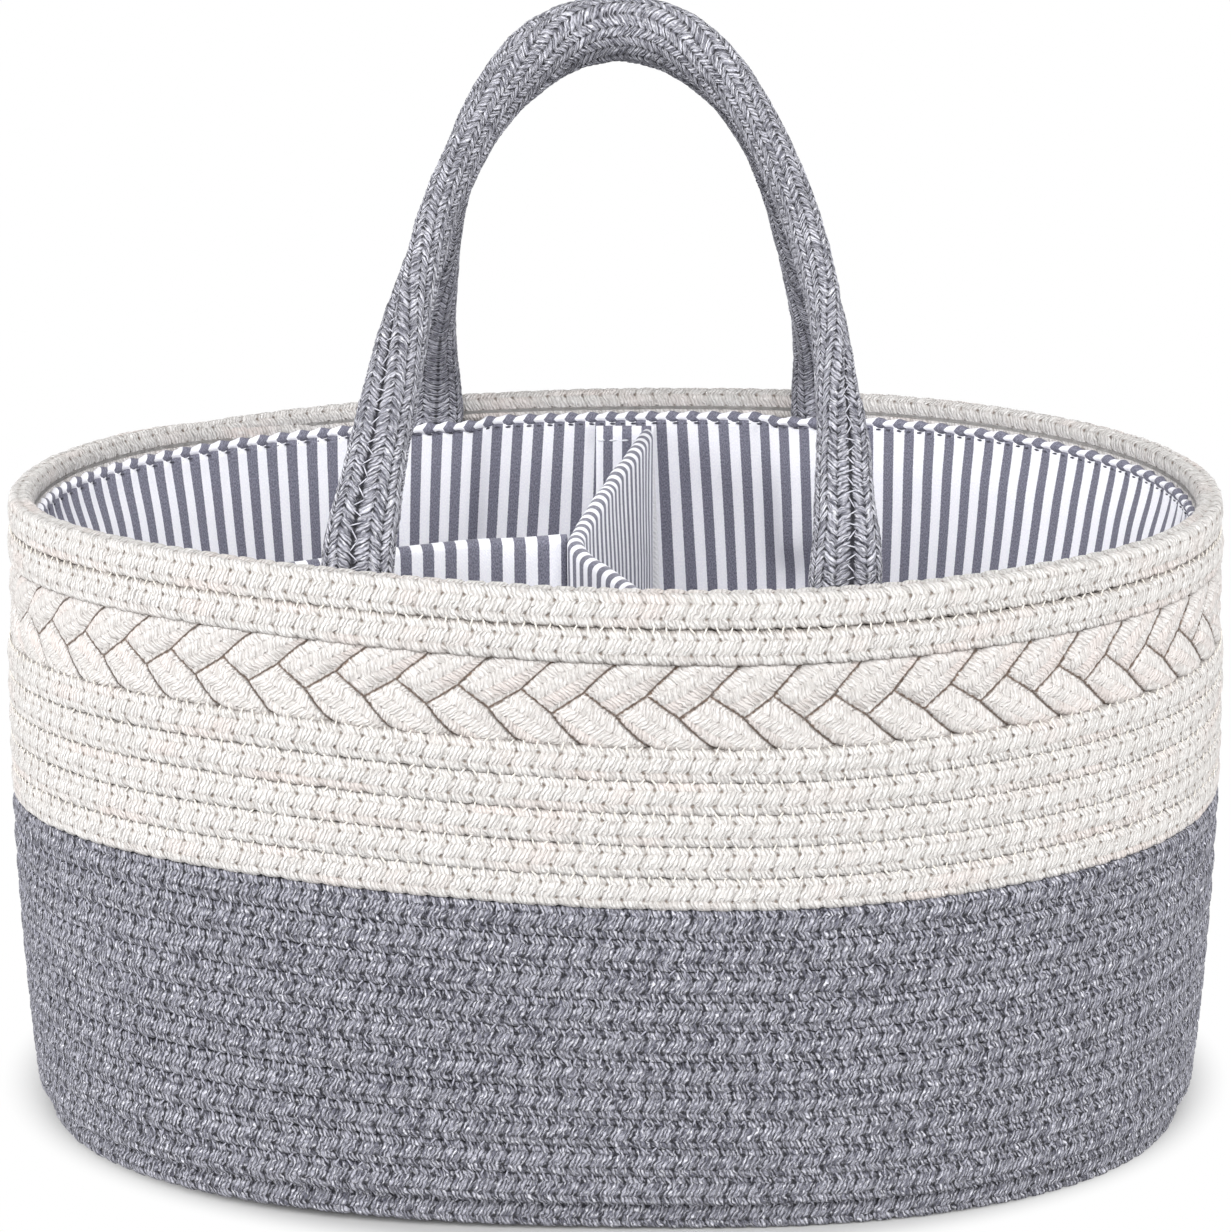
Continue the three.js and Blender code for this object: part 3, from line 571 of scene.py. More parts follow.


# Masks of the braid's yarn: Hole, Groove and Ply mark where the materials paint shade; Streak, Fleck, Strand
# and Patch vary the yarn's own colour
def addYarnGroup():
    numbers = {
        "Along": 0,
        "Across": 0,
        "Strand Pitch": 0.0062,
        "Column Width": 0.0045,
        "Slant": 0.3,
        "Plies": 5,
        "Hole": 0.0009,
    }
    results = ("Hole", "Groove", "Ply", "Streak", "Fleck", "Strand", "Patch")
    tree, given, result = effectGroup("yarn braid", numbers, results)
    along, across = given["Along"], given["Across"]
    field = braidField(tree, along, across, given["Strand Pitch"], given["Column Width"], given["Slant"])
    rough = noiseValue(tree, *scaled(tree, along, across, yarnNoise["rough"]), 0.0, 2.0)
    rough = times(tree, minus(tree, rough, 0.5), given["Hole"])
    gap = plus(tree, field["gap"], rough)
    edge = plus(tree, field["edge"], rough)
    nearGap = ramp(tree, gap, given["Hole"], 0.0)
    nearEdge = ramp(tree, edge, times(tree, given["Hole"], yarnNoise["edgeHole"]), 0.0)
    tree.links.new(times(tree, nearGap, nearEdge), result["Hole"])
    groove = calc(tree, "MAXIMUM", nearGap, times(tree, nearEdge, yarnNoise["edgeGroove"]))
    tree.links.new(groove, result["Groove"])
    number = field["number"]
    strand = floor(tree, plus(tree, field["phase"], 0.5))
    cell = {"Vector": combine(tree, strand, number, 0.5)}
    own = addNode(tree, "ShaderNodeTexWhiteNoise", cell, noise_dimensions="3D").outputs["Value"]
    tree.links.new(own, result["Strand"])
    layer = times(tree, number, yarnNoise["wobbleLayer"])
    wobble = noiseValue(tree, *scaled(tree, along, across, yarnNoise["wobble"]), layer, 2.0)
    wobble = times(tree, wobble, yarnNoise["wobbleShare"])
    place = plus(tree, times(tree, field["phase"], given["Plies"]), wobble)
    place = plus(tree, place, times(tree, own, yarnNoise["strandShare"]))
    wave = times(tree, absolute(tree, minus(tree, fraction(tree, place), 0.5)), 2.0)
    tree.links.new(hump(tree, wave, 1.0), result["Ply"])
    layer = times(tree, number, yarnNoise["fleckLayer"])
    for name, detail, roughness in (("Streak", 3.0, 0.7), ("Fleck", 1.0, 0.5)):
        finely = scaled(tree, place, across, yarnNoise[name.lower()])
        tree.links.new(noiseValue(tree, *finely, layer, detail, roughness), result[name])
    patch = noiseValue(tree, *scaled(tree, along, number, yarnNoise["patch"]), 0.0, 2.0)
    tree.links.new(patch, result["Patch"])
    return tree


weaveNoise = {"height": (0.35, 0.15), "fleck": (1.3, 0.7)}


def addWeaveGroup():
    numbers = {"Along": 0, "Up": 0, "Thread": 0.0005}
    tree, given, result = effectGroup("twill weave", numbers, ("Height", "Fleck"))
    warp = over(tree, given["Along"], given["Thread"])
    weft = over(tree, given["Up"], given["Thread"])
    ridge = calc(tree, "SINE", times(tree, plus(tree, warp, weft), math.pi))
    cross = calc(tree, "SINE", times(tree, weft, 2 * math.pi))
    height = plus(tree, *scaled(tree, ridge, cross, weaveNoise["height"]))
    tree.links.new(plus(tree, height, 0.5), result["Height"])
    fleck = noiseValue(tree, *scaled(tree, warp, weft, weaveNoise["fleck"]), 0.0, 2.0)
    tree.links.new(fleck, result["Fleck"])
    return tree


lobeNoise = (900.0, 900.0)


# Thin dark lines of painted shade between the plait's lobes, by the same rule as its relief
def addLobeGroup():
    numbers = {
        "Around": 0,
        "Up": 0,
        "Lobe": 0.0176,
        "First Vertex": 0,
        "Zigzag": 0.0032,
        "Slant": 0.8,
        "Bend": 20,
        "Width": 0.0005,
        "Line Share": 0.75,
        "Zigzag Share": 0.82,
        "Raggedness": 0.0009,
    }
    tree, given, result = effectGroup("lobe lines", numbers, ("Line",))
    ragged = noiseValue(tree, *scaled(tree, given["Around"], given["Up"], lobeNoise), 0.0, 2.0)
    ragged = times(tree, minus(tree, ragged, 0.5), given["Raggedness"])
    share = over(tree, minus(tree, plus(tree, given["Around"], ragged), given["First Vertex"]), given["Lobe"])
    swing = absolute(tree, minus(tree, fraction(tree, share), 0.5))
    zigzag = times(tree, given["Zigzag"], minus(tree, times(tree, swing, 4.0), 1.0))
    fromZigzag = minus(tree, given["Up"], zigzag)
    below = calc(tree, "LESS_THAN", fromZigzag, 0.0)
    side = minus(tree, 1.0, times(tree, below, 2.0))
    above = minus(tree, times(tree, given["Up"], side), given["Zigzag"])
    curve = times(tree, times(tree, above, calc(tree, "MAXIMUM", above, 0.0)), given["Bend"])
    shift = over(tree, plus(tree, times(tree, above, given["Slant"]), curve), given["Lobe"])
    moved = minus(tree, minus(tree, share, shift), times(tree, below, 0.5))
    within = absolute(tree, minus(tree, fraction(tree, moved), 0.5))
    toLine = times(tree, times(tree, minus(tree, 0.5, within), given["Line Share"]), given["Lobe"])
    toZigzag = times(tree, absolute(tree, fromZigzag), given["Zigzag Share"])
    nearest = calc(tree, "MINIMUM", toLine, toZigzag)
    tree.links.new(ramp(tree, plus(tree, nearest, ragged), given["Width"], 0.0), result["Line"])
    return tree


yarnGroup = addYarnGroup()
lobeGroup = addLobeGroup()
weaveGroup = addWeaveGroup()
clothSurface = {"Specular IOR Level": 0.25, "Sheen Roughness": 0.5}


def newMaterial(name, roughness, sheen):
    material = bpy.data.materials.new(name)
    material.use_nodes = True
    tree = material.node_tree
    shader = tree.nodes["Principled BSDF"]
    given = {"Roughness": roughness, "Sheen Weight": sheen}
    for label, value in (given | clothSurface).items():
        shader.inputs[label].default_value = value
    return material, tree, shader


def attributeValue(tree, name):
    return addNode(tree, "ShaderNodeAttribute", attribute_name=name).outputs["Fac"]


def blendColours(tree, share, first, second):
    given = {"Factor": share, "A": first, "B": second}
    return addNode(tree, "ShaderNodeMix", given, data_type="RGBA").outputs["Result"]


def placeGroup(tree, group, values):
    return addNode(tree, "ShaderNodeGroup", values, node_tree=group).outputs


def bump(tree, height, distance, strength, shader):
    given = {"Height": height, "Distance": distance, "Strength": strength}
    tree.links.new(addNode(tree, "ShaderNodeBump", given).outputs[0], shader.inputs["Normal"])


def colour(red, green, blue):
    return (red, green, blue, 1.0)


braidLook = {
    "patch": (0.5, 0.72),
    "patchShare": 0.6,
    "fleckFade": 0.07,
    "darkFleck": (0.42, 0.33),
    "deepest": 0.96,
    "plyBump": 0.6,
    "streakBump": 0.6,
    "fleckBump": 0.5,
}


# Braided cotton: light and dark yarns, with painted shade in the ply valleys, in the holes between the
# strands, in the grooves and along the seam
def braidedCotton(name, values):
    material, tree, shader = newMaterial(name, 0.9, values["sheen"])
    along, across = attributeValue(tree, "along"), attributeValue(tree, "across")
    yarn = placeGroup(tree, yarnGroup, {
        "Along": along,
        "Across": across,
        "Strand Pitch": values["pitch"],
        "Column Width": values["column"],
        "Slant": values["slant"],
        "Plies": values["plies"],
        "Hole": values["hole"],
    })
    heather = ramp(tree, yarn["Streak"], values["streakLow"], values["streakHigh"])
    own = times(tree, minus(tree, yarn["Strand"], 0.5), values["strandShade"])
    heather = plus(tree, heather, own)
    cloth = blendColours(tree, heather, values["dark"], values["light"])
    patched = times(tree, ramp(tree, yarn["Patch"], *braidLook["patch"]), braidLook["patchShare"])
    cloth = blendColours(tree, patched, cloth, values["patch"])
    bright = ramp(tree, yarn["Fleck"], values["fleckFrom"], values["fleckFrom"] + braidLook["fleckFade"])
    cloth = blendColours(tree, times(tree, bright, values["fleckShare"]), cloth, values["fleck"])
    # Painted shade in the ply valleys, holes and grooves, plus the yarn's own dark flecks, all blended
    # towards the deep colour
    shade = times(tree, minus(tree, 1.0, yarn["Ply"]), values["plyShade"])
    shade = plus(tree, shade, times(tree, yarn["Hole"], values["holeShade"]))
    shade = plus(tree, shade, times(tree, yarn["Groove"], values["grooveShade"]))
    darkFleck = ramp(tree, yarn["Fleck"], *braidLook["darkFleck"])
    shade = plus(tree, shade, times(tree, darkFleck, values["darkFlecks"]))
    # Painted shade along the seam, or along the lines between the plait's lobes
    if "lobes" in values:
        place = {"Around": attributeValue(tree, "round"), "Up": attributeValue(tree, "up")}
        seam = placeGroup(tree, lobeGroup, dict(values["lobes"], **place))["Line"]
    else:
        seam = attributeValue(tree, "seam")
    shade = plus(tree, shade, times(tree, seam, values["seamShade"]))
    shade = calc(tree, "MINIMUM", shade, braidLook["deepest"])
    tree.links.new(blendColours(tree, shade, cloth, values["deep"]), shader.inputs["Base Color"])
    relief = minus(tree, times(tree, yarn["Ply"], braidLook["plyBump"]), yarn["Hole"])
    relief = plus(tree, relief, times(tree, yarn["Streak"], braidLook["streakBump"]))
    relief = plus(tree, relief, times(tree, yarn["Fleck"], braidLook["fleckBump"]))
    bump(tree, relief, values["bump"], 1.0, shader)
    return material


# deep is the colour of the painted shade and of the dark flecks
greyRope = braidedCotton("greyRope", {
    "pitch": 0.0062, "column": 0.0045, "slant": 0.3, "plies": 5, "hole": 0.0009,
    "dark": colour(0.115, 0.115, 0.148), "light": colour(0.45, 0.45, 0.515),
    "patch": colour(0.36, 0.36, 0.41), "deep": colour(0.008, 0.008, 0.014), "fleck": colour(0.84, 0.84, 0.9),
    "streakLow": 0.36, "streakHigh": 0.62, "fleckFrom": 0.585, "fleckShare": 0.7, "darkFlecks": 0.55,
    "strandShade": 0.3, "plyShade": 0.66, "holeShade": 0.97, "grooveShade": 0.3, "seamShade": 0.95,
    "bump": 0.001, "sheen": 0.1,
})
creamValues = {
    "pitch": 0.0062, "column": 0.0045, "slant": 0.3, "plies": 5, "hole": 0.0008,
    "dark": colour(0.53, 0.51, 0.496), "light": colour(0.7, 0.684, 0.67),
    "patch": colour(0.7, 0.616, 0.586), "deep": colour(0.2, 0.16, 0.13), "fleck": colour(0.9, 0.89, 0.88),
    "streakLow": 0.3, "streakHigh": 0.62, "fleckFrom": 0.6, "fleckShare": 0.5, "darkFlecks": 0.14,
    "strandShade": 0.2, "plyShade": 0.28, "holeShade": 0.8, "grooveShade": 0.16, "seamShade": 0.45,
    "bump": 0.0006, "sheen": 0.1,
}
creamRope = braidedCotton("creamRope", creamValues)
coreRope = braidedCotton("coreRope", dict(creamValues, seamShade=0.0))
strapBraid = braidedCotton("strapBraid", {
    "pitch": 0.0026, "column": 0.0033, "slant": 1.05, "plies": 2, "hole": 0.0006,
    "dark": colour(0.16, 0.16, 0.195), "light": colour(0.56, 0.56, 0.625),
    "patch": colour(0.44, 0.44, 0.5), "deep": colour(0.012, 0.012, 0.018), "fleck": colour(0.9, 0.9, 0.95),
    "streakLow": 0.34, "streakHigh": 0.62, "fleckFrom": 0.58, "fleckShare": 0.6, "darkFlecks": 0.5,
    "strandShade": 0.5, "plyShade": 0.5, "holeShade": 0.92, "grooveShade": 0.4, "seamShade": 0.9,
    "bump": 0.0007, "sheen": 0.1,
})
print("braided materials made")


# Striped cotton twill: white and slate stripes of equal width, woven in
def stripedCotton(name, values):
    material, tree, shader = newMaterial(name, 0.85, 0.1)
    across, up = attributeValue(tree, "across"), attributeValue(tree, "up")
    weave = placeGroup(tree, weaveGroup, {"Along": across, "Up": up, "Thread": values["thread"]})
    place = fraction(tree, over(tree, across, values["period"]))
    ragged = times(tree, minus(tree, weave["Fleck"], 0.5), values["raggedness"])
    fromMiddle = plus(tree, absolute(tree, minus(tree, place, 0.5)), ragged)
    stripe = ramp(tree, fromMiddle, *values["edge"])
    fleck = ramp(tree, weave["Fleck"], *values["fleck"])
    slate = blendColours(tree, fleck, values["slateDark"], values["slateLight"])
    white = blendColours(tree, fleck, values["whiteDark"], values["whiteLight"])
    tree.links.new(blendColours(tree, stripe, white, slate), shader.inputs["Base Color"])
    bump(tree, weave["Height"], values["bump"], 0.6, shader)
    return material


twill = stripedCotton("stripedTwill", {
    "period": stripePeriod,
    "thread": 0.0005,
    "edge": (0.265, 0.235),
    "raggedness": 0.03,
    "fleck": (0.3, 0.7),
    "slateDark": colour(0.11, 0.11, 0.148),
    "slateLight": colour(0.25, 0.25, 0.31),
    "whiteDark": colour(0.85, 0.85, 0.92),
    "whiteLight": colour(0.95, 0.95, 0.98),
    "bump": 0.00012,
})


def plainCloth(name, dark, light, thread, height):
    material, tree, shader = newMaterial(name, 0.9, 0.2)
    coordinates = addNode(tree, "ShaderNodeTexCoord").outputs["Object"]
    split = addNode(tree, "ShaderNodeSeparateXYZ", {0: coordinates}).outputs
    flat = plus(tree, split["X"], split["Y"])
    weave = placeGroup(tree, weaveGroup, {"Along": flat, "Up": split["Z"], "Thread": thread})
    tree.links.new(blendColours(tree, weave["Fleck"], dark, light), shader.inputs["Base Color"])
    bump(tree, weave["Height"], height, 0.6, shader)
    return material


creamThread = plainCloth("creamThread", colour(0.6, 0.56, 0.5), colour(0.86, 0.83, 0.78), 0.0004, 0.0001)
greyThread = plainCloth("greyThread", colour(0.2, 0.2, 0.25), colour(0.5, 0.5, 0.57), 0.0004, 0.0001)
whiteThread = plainCloth("whiteThread", colour(0.7, 0.7, 0.76), colour(0.92, 0.92, 0.96), 0.0004, 0.0001)
seamThread = plainCloth("seamThread", colour(0.3, 0.3, 0.36), colour(0.72, 0.72, 0.78), 0.0012, 0.0001)
# Near-black thread for the hem's running stitch, dark enough to paint the shadow line under the hem as well
stitchAndShadowThread = plainCloth("stitchAndShadowThread", colour(0.03, 0.03, 0.045), colour(0.1, 0.1, 0.13), 0.0004, 0.0001)
touchTape = plainCloth("touchTape", colour(0.7, 0.7, 0.72), colour(0.88, 0.88, 0.9), 0.0009, 0.0004)
felt = plainCloth("feltBoard", colour(0.62, 0.6, 0.56), colour(0.82, 0.8, 0.76), 0.0013, 0.0004)
print("cloth materials made")

reliefGroup = addReliefGroup()
ropeTree = addRopeTree(reliefGroup)
coverTree = addCoverTree(reliefGroup)
stitchTree = addStitchTree()


# Rope courses: one spiral, level for most of each turn, climbing a course at the back
def coursesClimbed(turn):
    turn = np.asarray(turn, float)
    share = smoothstep(0, rope["climbTurn"], turn - np.floor(turn))
    return np.where(turn < 0, 0, np.floor(turn) + share)


winding = {
    "turnStep": 1 / 1440,
    "cutShort": 0.02,
    "seamInset": 0.0004,
    "press": 1.04,
    "stepsPerStrand": 6,
    "openDetail": 0.1,
    "openSides": 28,
    "lastSeamShort": 0.2,
}
wallRope = {
    "Half Across": 0.00395,
    "Squareness": 3.6,
    "Outer Detail": 0.62,
    "Sides": 20,
    "Column Shift": 0.00047,
    "Strand Pitch": 0.0062,
    "Column Width": 0.0045,
    "Slant": 0.3,
    "Relief": 0.0007,
    "Round Over": 0.0013,
    "Unevenness": 0.0009,
}


def windingPath(bottom, courses, pitch, atSeam):
    last = courses + rope["climbTurn"] - winding["cutShort"]
    turn = np.arange(winding["cutShort"], last, winding["turnStep"])
    low = bottom + pitch * np.minimum(coursesClimbed(turn - 1), courses - 1)
    high = bottom + pitch * np.clip(coursesClimbed(turn), 1, courses)
    angle = 2 * np.pi * (turn + tub["startTurn"])
    middle = high if atSeam else (low + high) / 2
    tuck = rope["footTuck"] * np.clip(1 - middle / rope["footHeight"], 0, 1) ** 2
    inset = (winding["seamInset"] if atSeam else rope["thick"] / 2) + tuck
    ending = np.clip(np.maximum(rope["climbTurn"] - turn, turn - courses) / rope["climbTurn"], 0, 1)
    taper = 1 - rope["endSink"] * ending
    return tilted(wallAt(angle, inset, middle)), taper, turn


def buildWinding(name, node, bottom, courses, pitch, material, parts, squareness, openTop=False):
    points, taper, turn = windingPath(bottom, courses, pitch, False)
    step = wallRope["Strand Pitch"] / winding["stepsPerStrand"]
    points, along, taper, turn = evenly(points, step, taper, turn)
    # 1 where a course lies above, so that the painted seam shade is kept there
    covered = np.where(openTop & (turn > courses - 1), 0.0, 1.0)
    values = dict(wallRope, Material=material)
    values.update({"Half Up": pitch / 2 * winding["press"], "Squareness": squareness})
    if openTop:  # its inner face shows above the lining
        values.update({"Outer Detail": winding["openDetail"], "Sides": winding["openSides"]})
    for number in range(parts):
        first, last = [int(len(points) * k / parts) for k in (number, number + 1)]
        run = slice(first, min(last + 1, len(points)))
        label = name if parts == 1 else f"{name}_{number + 1}"
        mesh = pathMesh(label, points[run], along=along[run], taper=taper[run], covered=covered[run])
        made = shapeWithNodes(label, mesh, ropeTree, values)
        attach(made, "basket")
        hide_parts(node)


# A row of stitches along a path, its threads upright at a lean of 0
def buildStitches(name, path, values, material, up=(0.0, 0.0, 1.0)):
    mesh = pathMesh(name, path, cross=np.broadcast_to(up, path.shape))
    return shapeWithNodes(name, mesh, stitchTree, dict(values, Material=material))


wallStitch = {
    "Spacing": 0.0036,
    "Length": 0.0032,
    "Thread": 0.0003,
    "Lean": 0.45,
    "Looseness": 0.35,
    "Seed": 7,
}


def buildSeam(name, bottom, courses, pitch, material):
    path = windingPath(bottom, courses, pitch, True)[0]
    seam = buildStitches(name, path, wallStitch, material)
    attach(seam, "basket")
    return seam


greyWall = (rope["wallBottom"], rope["greyCourses"], rope["pitch"])
creamWall = (greyTop, rope["creamCourses"], rope["pitch"])
buildWinding("greyWall", "wall_grey", *greyWall, greyRope, 3, 3.8)
buildWinding("creamWall", "wall_cream", *creamWall, creamRope, 1, 4.4)
buildWinding("rimRope", "rim_rope", plaitTop, rope["rimCourses"], rope["rimPitch"], creamRope, 1, 3.6, True)
greyCourses = rope["greyCourses"] - winding["lastSeamShort"]  # the last seam ends short of the cream rope
seams = [
    ("greyStitches", rope["wallBottom"], greyCourses, rope["pitch"], greyThread),
    ("creamStitches", *creamWall, creamThread),
    ("rimStitches", plaitTop, rope["rimCourses"] - 1, rope["rimPitch"], creamThread),
]
for part, bottom, courses, pitch, cloth in seams:
    stitches = buildSeam(part, bottom, courses, pitch, cloth)
print("walls wound")


# Base: the same rope coiled flat, straight runs joined by half turns
baseCoil = {
    "pitch": 0.0097,
    "flat": 0.0038,
    "step": 0.0015,
    "tuckShare": 0.45,
    "sides": 14,
    "endShare": 0.2,
    "endLength": 0.01,
}


# Which points lie inside the tub's plan, drawn in by an inset, at a height
def insideTub(points, inset, z):
    outline = wallAt(np.linspace(0, 2 * np.pi, 1440, endpoint=False), inset, z)[:, :2]
    edge = np.roll(outline, -1, axis=0) - outline
    away = points[:, None, :2] - outline[None]
    return (edge[:, 0] * away[..., 1] - edge[:, 1] * away[..., 0]).min(1) > 0


def reachOnBase(centre, direction):
    low, high = 0.0, tub["halfLength"]
    inset = rope["thick"] + rope["footTuck"] * baseCoil["tuckShare"]
    for _ in range(40):
        middle = (low + high) / 2
        inside = insideTub((centre + direction * middle)[None], inset, rope["wallBottom"])[0]
        low, high = (middle, high) if inside else (low, middle)
    return low - lining["seat"]


def buildBase():
    half = tub["halfLength"] - tub["halfWidth"]
    angles = np.linspace(np.pi / 2, 3 * np.pi / 2, 33)
    end = np.array([-half, 0.0])
    room = min(reachOnBase(end, np.array([math.cos(a), math.sin(a)])) for a in angles)
    loops = max(1, round(room / baseCoil["pitch"] - 0.5))
    pitch = room / (loops + 0.5)
    points = []

    def add(x, y, angle, radius):
        centre, direction = np.array([x, y]), np.array([math.cos(angle), math.sin(angle)])
        spread = radius * max(1, reachOnBase(centre, direction) / room)
        points.append((*(centre + direction * spread), baseCoil["flat"]))

    for loop in range(1, loops + 1):
        steps = 10 + 2 * loop
        for k in range(steps + 1):
            add(half, pitch / 2, -math.pi / 2 + math.pi * k / steps, (loop - 0.5) * pitch)
        add(0, pitch / 2, math.pi / 2, (loop - 0.5) * pitch)
        for k in range(steps + 1):
            add(-half, 0, math.pi / 2 + math.pi * k / steps, loop * pitch)
        add(0, 0, -math.pi / 2, loop * pitch)
    add(half, 0, -math.pi / 2, loops * pitch)
    even, along = evenly(np.array(points), baseCoil["step"])
    fromEnd = np.minimum(along, along[-1] - along)
    taper = np.minimum(1, fromEnd / baseCoil["endLength"] + baseCoil["endShare"])
    values = dict(wallRope, Material=greyRope)
    values.update({"Half Across": pitch / 2, "Half Up": baseCoil["flat"], "Sides": baseCoil["sides"]})
    values.update({"Outer Detail": 0.0, "Column Shift": 0.0})
    mesh = pathMesh("baseCoil", even, along=along, taper=taper, covered=np.ones(len(even)))
    coil = shapeWithNodes("baseCoil", mesh, ropeTree, values)
    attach(coil, "basket")
    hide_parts("base_coil")


buildBase()
print("base coiled")

# Plait: three flat cords, each over and under the others, sewn in between the wall and the rim. A zigzag
# parts the upper lobes from the lower ones, and a slanting line parts each lobe from the next
plait = {
    "lobes": 57,
    "firstVertex": -0.0085,
    "zigzag": 0.0032,
    "slant": 0.78,
    "bend": 20.0,
    "lineShare": 0.75,
    "zigzagShare": 0.82,
    "halfHigh": 0.0123,
    "face": 0.0001,
    "back": 0.0074,
    "pillow": 0.0046,
    "grooveDepth": 0.0021,
    "edgeRound": 0.0022,
    "edgeDepth": 0.0012,
    "tilt": 0.0009,
    "waver": 0.0006,
    "waverScale": 45,
    "strandLean": 0.55,
    "strandStep": 0.0037,
    "columns": 1500,
    "rows": 36,
    "backRows": 4,
    "backInset": 0.001,
}
plaitWeave = {
    "Strand Pitch": 0.0034,
    "Column Width": 0.0036,
    "Slant": 0.4,
    "Relief": 0.00028,
    "Round Over": 0.001,
    "Unevenness": 0.0008,
}
lobePitch = girth / plait["lobes"]
firstLobe = girth / 2 + plait["firstVertex"]
# The plait's cream; seamShade here is the strength of the painted shade on the lines between its lobes
creamPlait = braidedCotton("creamPlait", dict(
    creamValues, pitch=0.0034, column=0.0036, slant=0.4, plies=3, hole=0.0004, plyShade=0.18, holeShade=0.2,
    grooveShade=0.08, seamShade=0.85, deep=colour(0.16, 0.1, 0.065), bump=0.0004, fleckShare=0.35,
    dark=colour(0.47, 0.449, 0.436), light=colour(0.66, 0.641, 0.627), patch=colour(0.66, 0.582, 0.554),
    lobes={
        "Lobe": lobePitch, "First Vertex": firstLobe, "Zigzag": plait["zigzag"], "Slant": plait["slant"],
        "Bend": plait["bend"], "Width": 0.00062, "Line Share": plait["lineShare"],
        "Zigzag Share": plait["zigzagShare"],
    },
))


# Where a point of the plait lies in its lobe: share of the way to the next lobe's line, and the distances
# to that line and to the zigzag
def lobePlace(around, up):
    share = (around - firstLobe) / lobePitch
    zigzag = plait["zigzag"] * (4 * np.abs(share - np.floor(share) - 0.5) - 1)
    upper = up > zigzag
    above = np.where(upper, up, -up) - plait["zigzag"]
    shift = plait["slant"] * above + plait["bend"] * above * np.maximum(above, 0)
    moved = share - shift / lobePitch - np.where(upper, 0, 0.5)
    within = moved - np.floor(moved)
    toLine = (0.5 - np.abs(within - 0.5)) * lobePitch * plait["lineShare"]
    toZigzag = np.abs(up - zigzag) * plait["zigzagShare"]
    return upper, np.floor(moved), within, toLine, toZigzag


# Rises from 0 at an edge to 1 at the given distance from it, rounded like a pillow
def rounded(distance, reach):
    return 1 - (1 - np.clip(distance / reach, 0, 1)) ** 2


def buildPlait():
    around = np.linspace(0, girth, plait["columns"], endpoint=False)[:, None]
    up = np.linspace(-plait["halfHigh"], plait["halfHigh"], plait["rows"])[None, :]
    around, up = np.broadcast_arrays(around, up)
    angle = angleAt(around + lengthAtX(0, 1))
    middle = (creamTop + plaitTop) / 2
    flat = wallAt(angle, 0, middle + up)
    placeAround = around + plait["waver"] * softField(flat, plait["waverScale"], 6.1)
    placeUp = up + plait["waver"] * softField(flat, plait["waverScale"], 14.3)
    upper, number, within, toLine, toZigzag = lobePlace(placeAround, placeUp)
    fill = rounded(np.minimum(toLine, toZigzag), plait["pillow"])
    edge = rounded(plait["halfHigh"] - np.abs(up), plait["edgeRound"])
    inset = plait["face"] + plait["grooveDepth"] * (1 - fill) + plait["edgeDepth"] * (1 - edge)
    inset = inset + plait["tilt"] * within * fill
    outer = wallAt(angle, inset, middle + up)
    backHalf = plait["halfHigh"] - plait["backInset"]
    backUp = np.linspace(backHalf, -backHalf, plait["backRows"])[None, :]
    behind = np.zeros((len(around), plait["backRows"]))
    back = wallAt(angle[:, :1] + behind, plait["back"], middle + backUp)
    lean = np.where(upper, 1, -1) * plait["strandLean"]
    fromLobe = placeAround - firstLobe - (number + np.where(upper, 0, 0.5)) * lobePitch
    along = fromLobe * np.cos(lean) + placeUp * np.sin(lean) + number * plait["strandStep"]
    across = placeUp * np.cos(lean) - fromLobe * np.sin(lean)
    attributes = {"along": along, "across": across, "round": placeAround, "up": placeUp}
    attributes = {key: np.concatenate([value, behind], 1) for key, value in attributes.items()}
    mesh = gridMesh("plait", tilted(np.concatenate([outer, back], 1)), around=True, closed=True, **attributes)
    band = shapeWithNodes("plait", facingOut(mesh), coverTree, dict(plaitWeave, Material=creamPlait))
    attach(band, "basket")
    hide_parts("plait_strand_1", "plait_strand_2", "plait_strand_3")


buildPlait()
print("plait laid")

# Handles: a braided strap folded to a tube, its edges sewn together along the outer side.
# Shares of each leg, from its foot to the top: rise up the arch, half width in the arch's plane and half
# depth across it in grip radii, the seam's turn from the outer face in half turns, shift aside in millimetres
frontLeftLeg = [
    (0, 1.16, 0.25, 0.02, -2.4), (0.08, 1.13, 0.5, 0.04, -2.0), (0.13, 1.08, 0.64, 0.06, -0.8),
    (0.17, 1.0, 0.72, 0.06, -0.3), (0.24, 0.94, 0.84, 0.05, 0.45), (0.33, 0.89, 0.95, 0.08, 1.3),
    (0.41, 0.81, 1.06, 0.13, 1.3), (0.5, 0.67, 1.12, 0.28, 1.2), (0.63, 0.61, 1.16, 0.44, 0.5),
]
frontRightLeg = [
    (0, 1.2, 0.25, 0.03, -1.2), (0.08, 1.09, 0.5, 0.03, -1.0), (0.12, 0.98, 0.62, 0.06, -1.3),
    (0.16, 0.92, 0.7, 0.06, -1.4), (0.24, 0.85, 0.84, 0.06, -0.4), (0.29, 0.75, 0.92, 0.08, -0.4),
    (0.33, 0.68, 0.98, 0.14, -0.7), (0.41, 0.6, 1.06, 0.27, 0.1), (0.5, 0.58, 1.12, 0.4, 0.6),
    (0.63, 0.58, 1.16, 0.48, 0.3),
]
backLeftLeg = [
    (0, 1.14, 0.25, 0, -0.6), (0.13, 0.94, 0.62, 0.05, -0.4), (0.24, 0.84, 0.84, 0.09, 0),
    (0.35, 0.77, 0.98, 0.18, 0.6), (0.49, 0.65, 1.12, 0.4, 0.9), (0.63, 0.6, 1.16, 0.48, 0.4),
]
backRightLeg = [
    (0, 1.14, 0.25, 0, 1.8), (0.13, 0.94, 0.62, 0.05, 1.6), (0.24, 0.84, 0.84, 0.09, 0.8),
    (0.35, 0.77, 0.98, 0.18, -0.4), (0.49, 0.65, 1.12, 0.4, -1.6), (0.63, 0.6, 1.16, 0.48, -1.2),
]
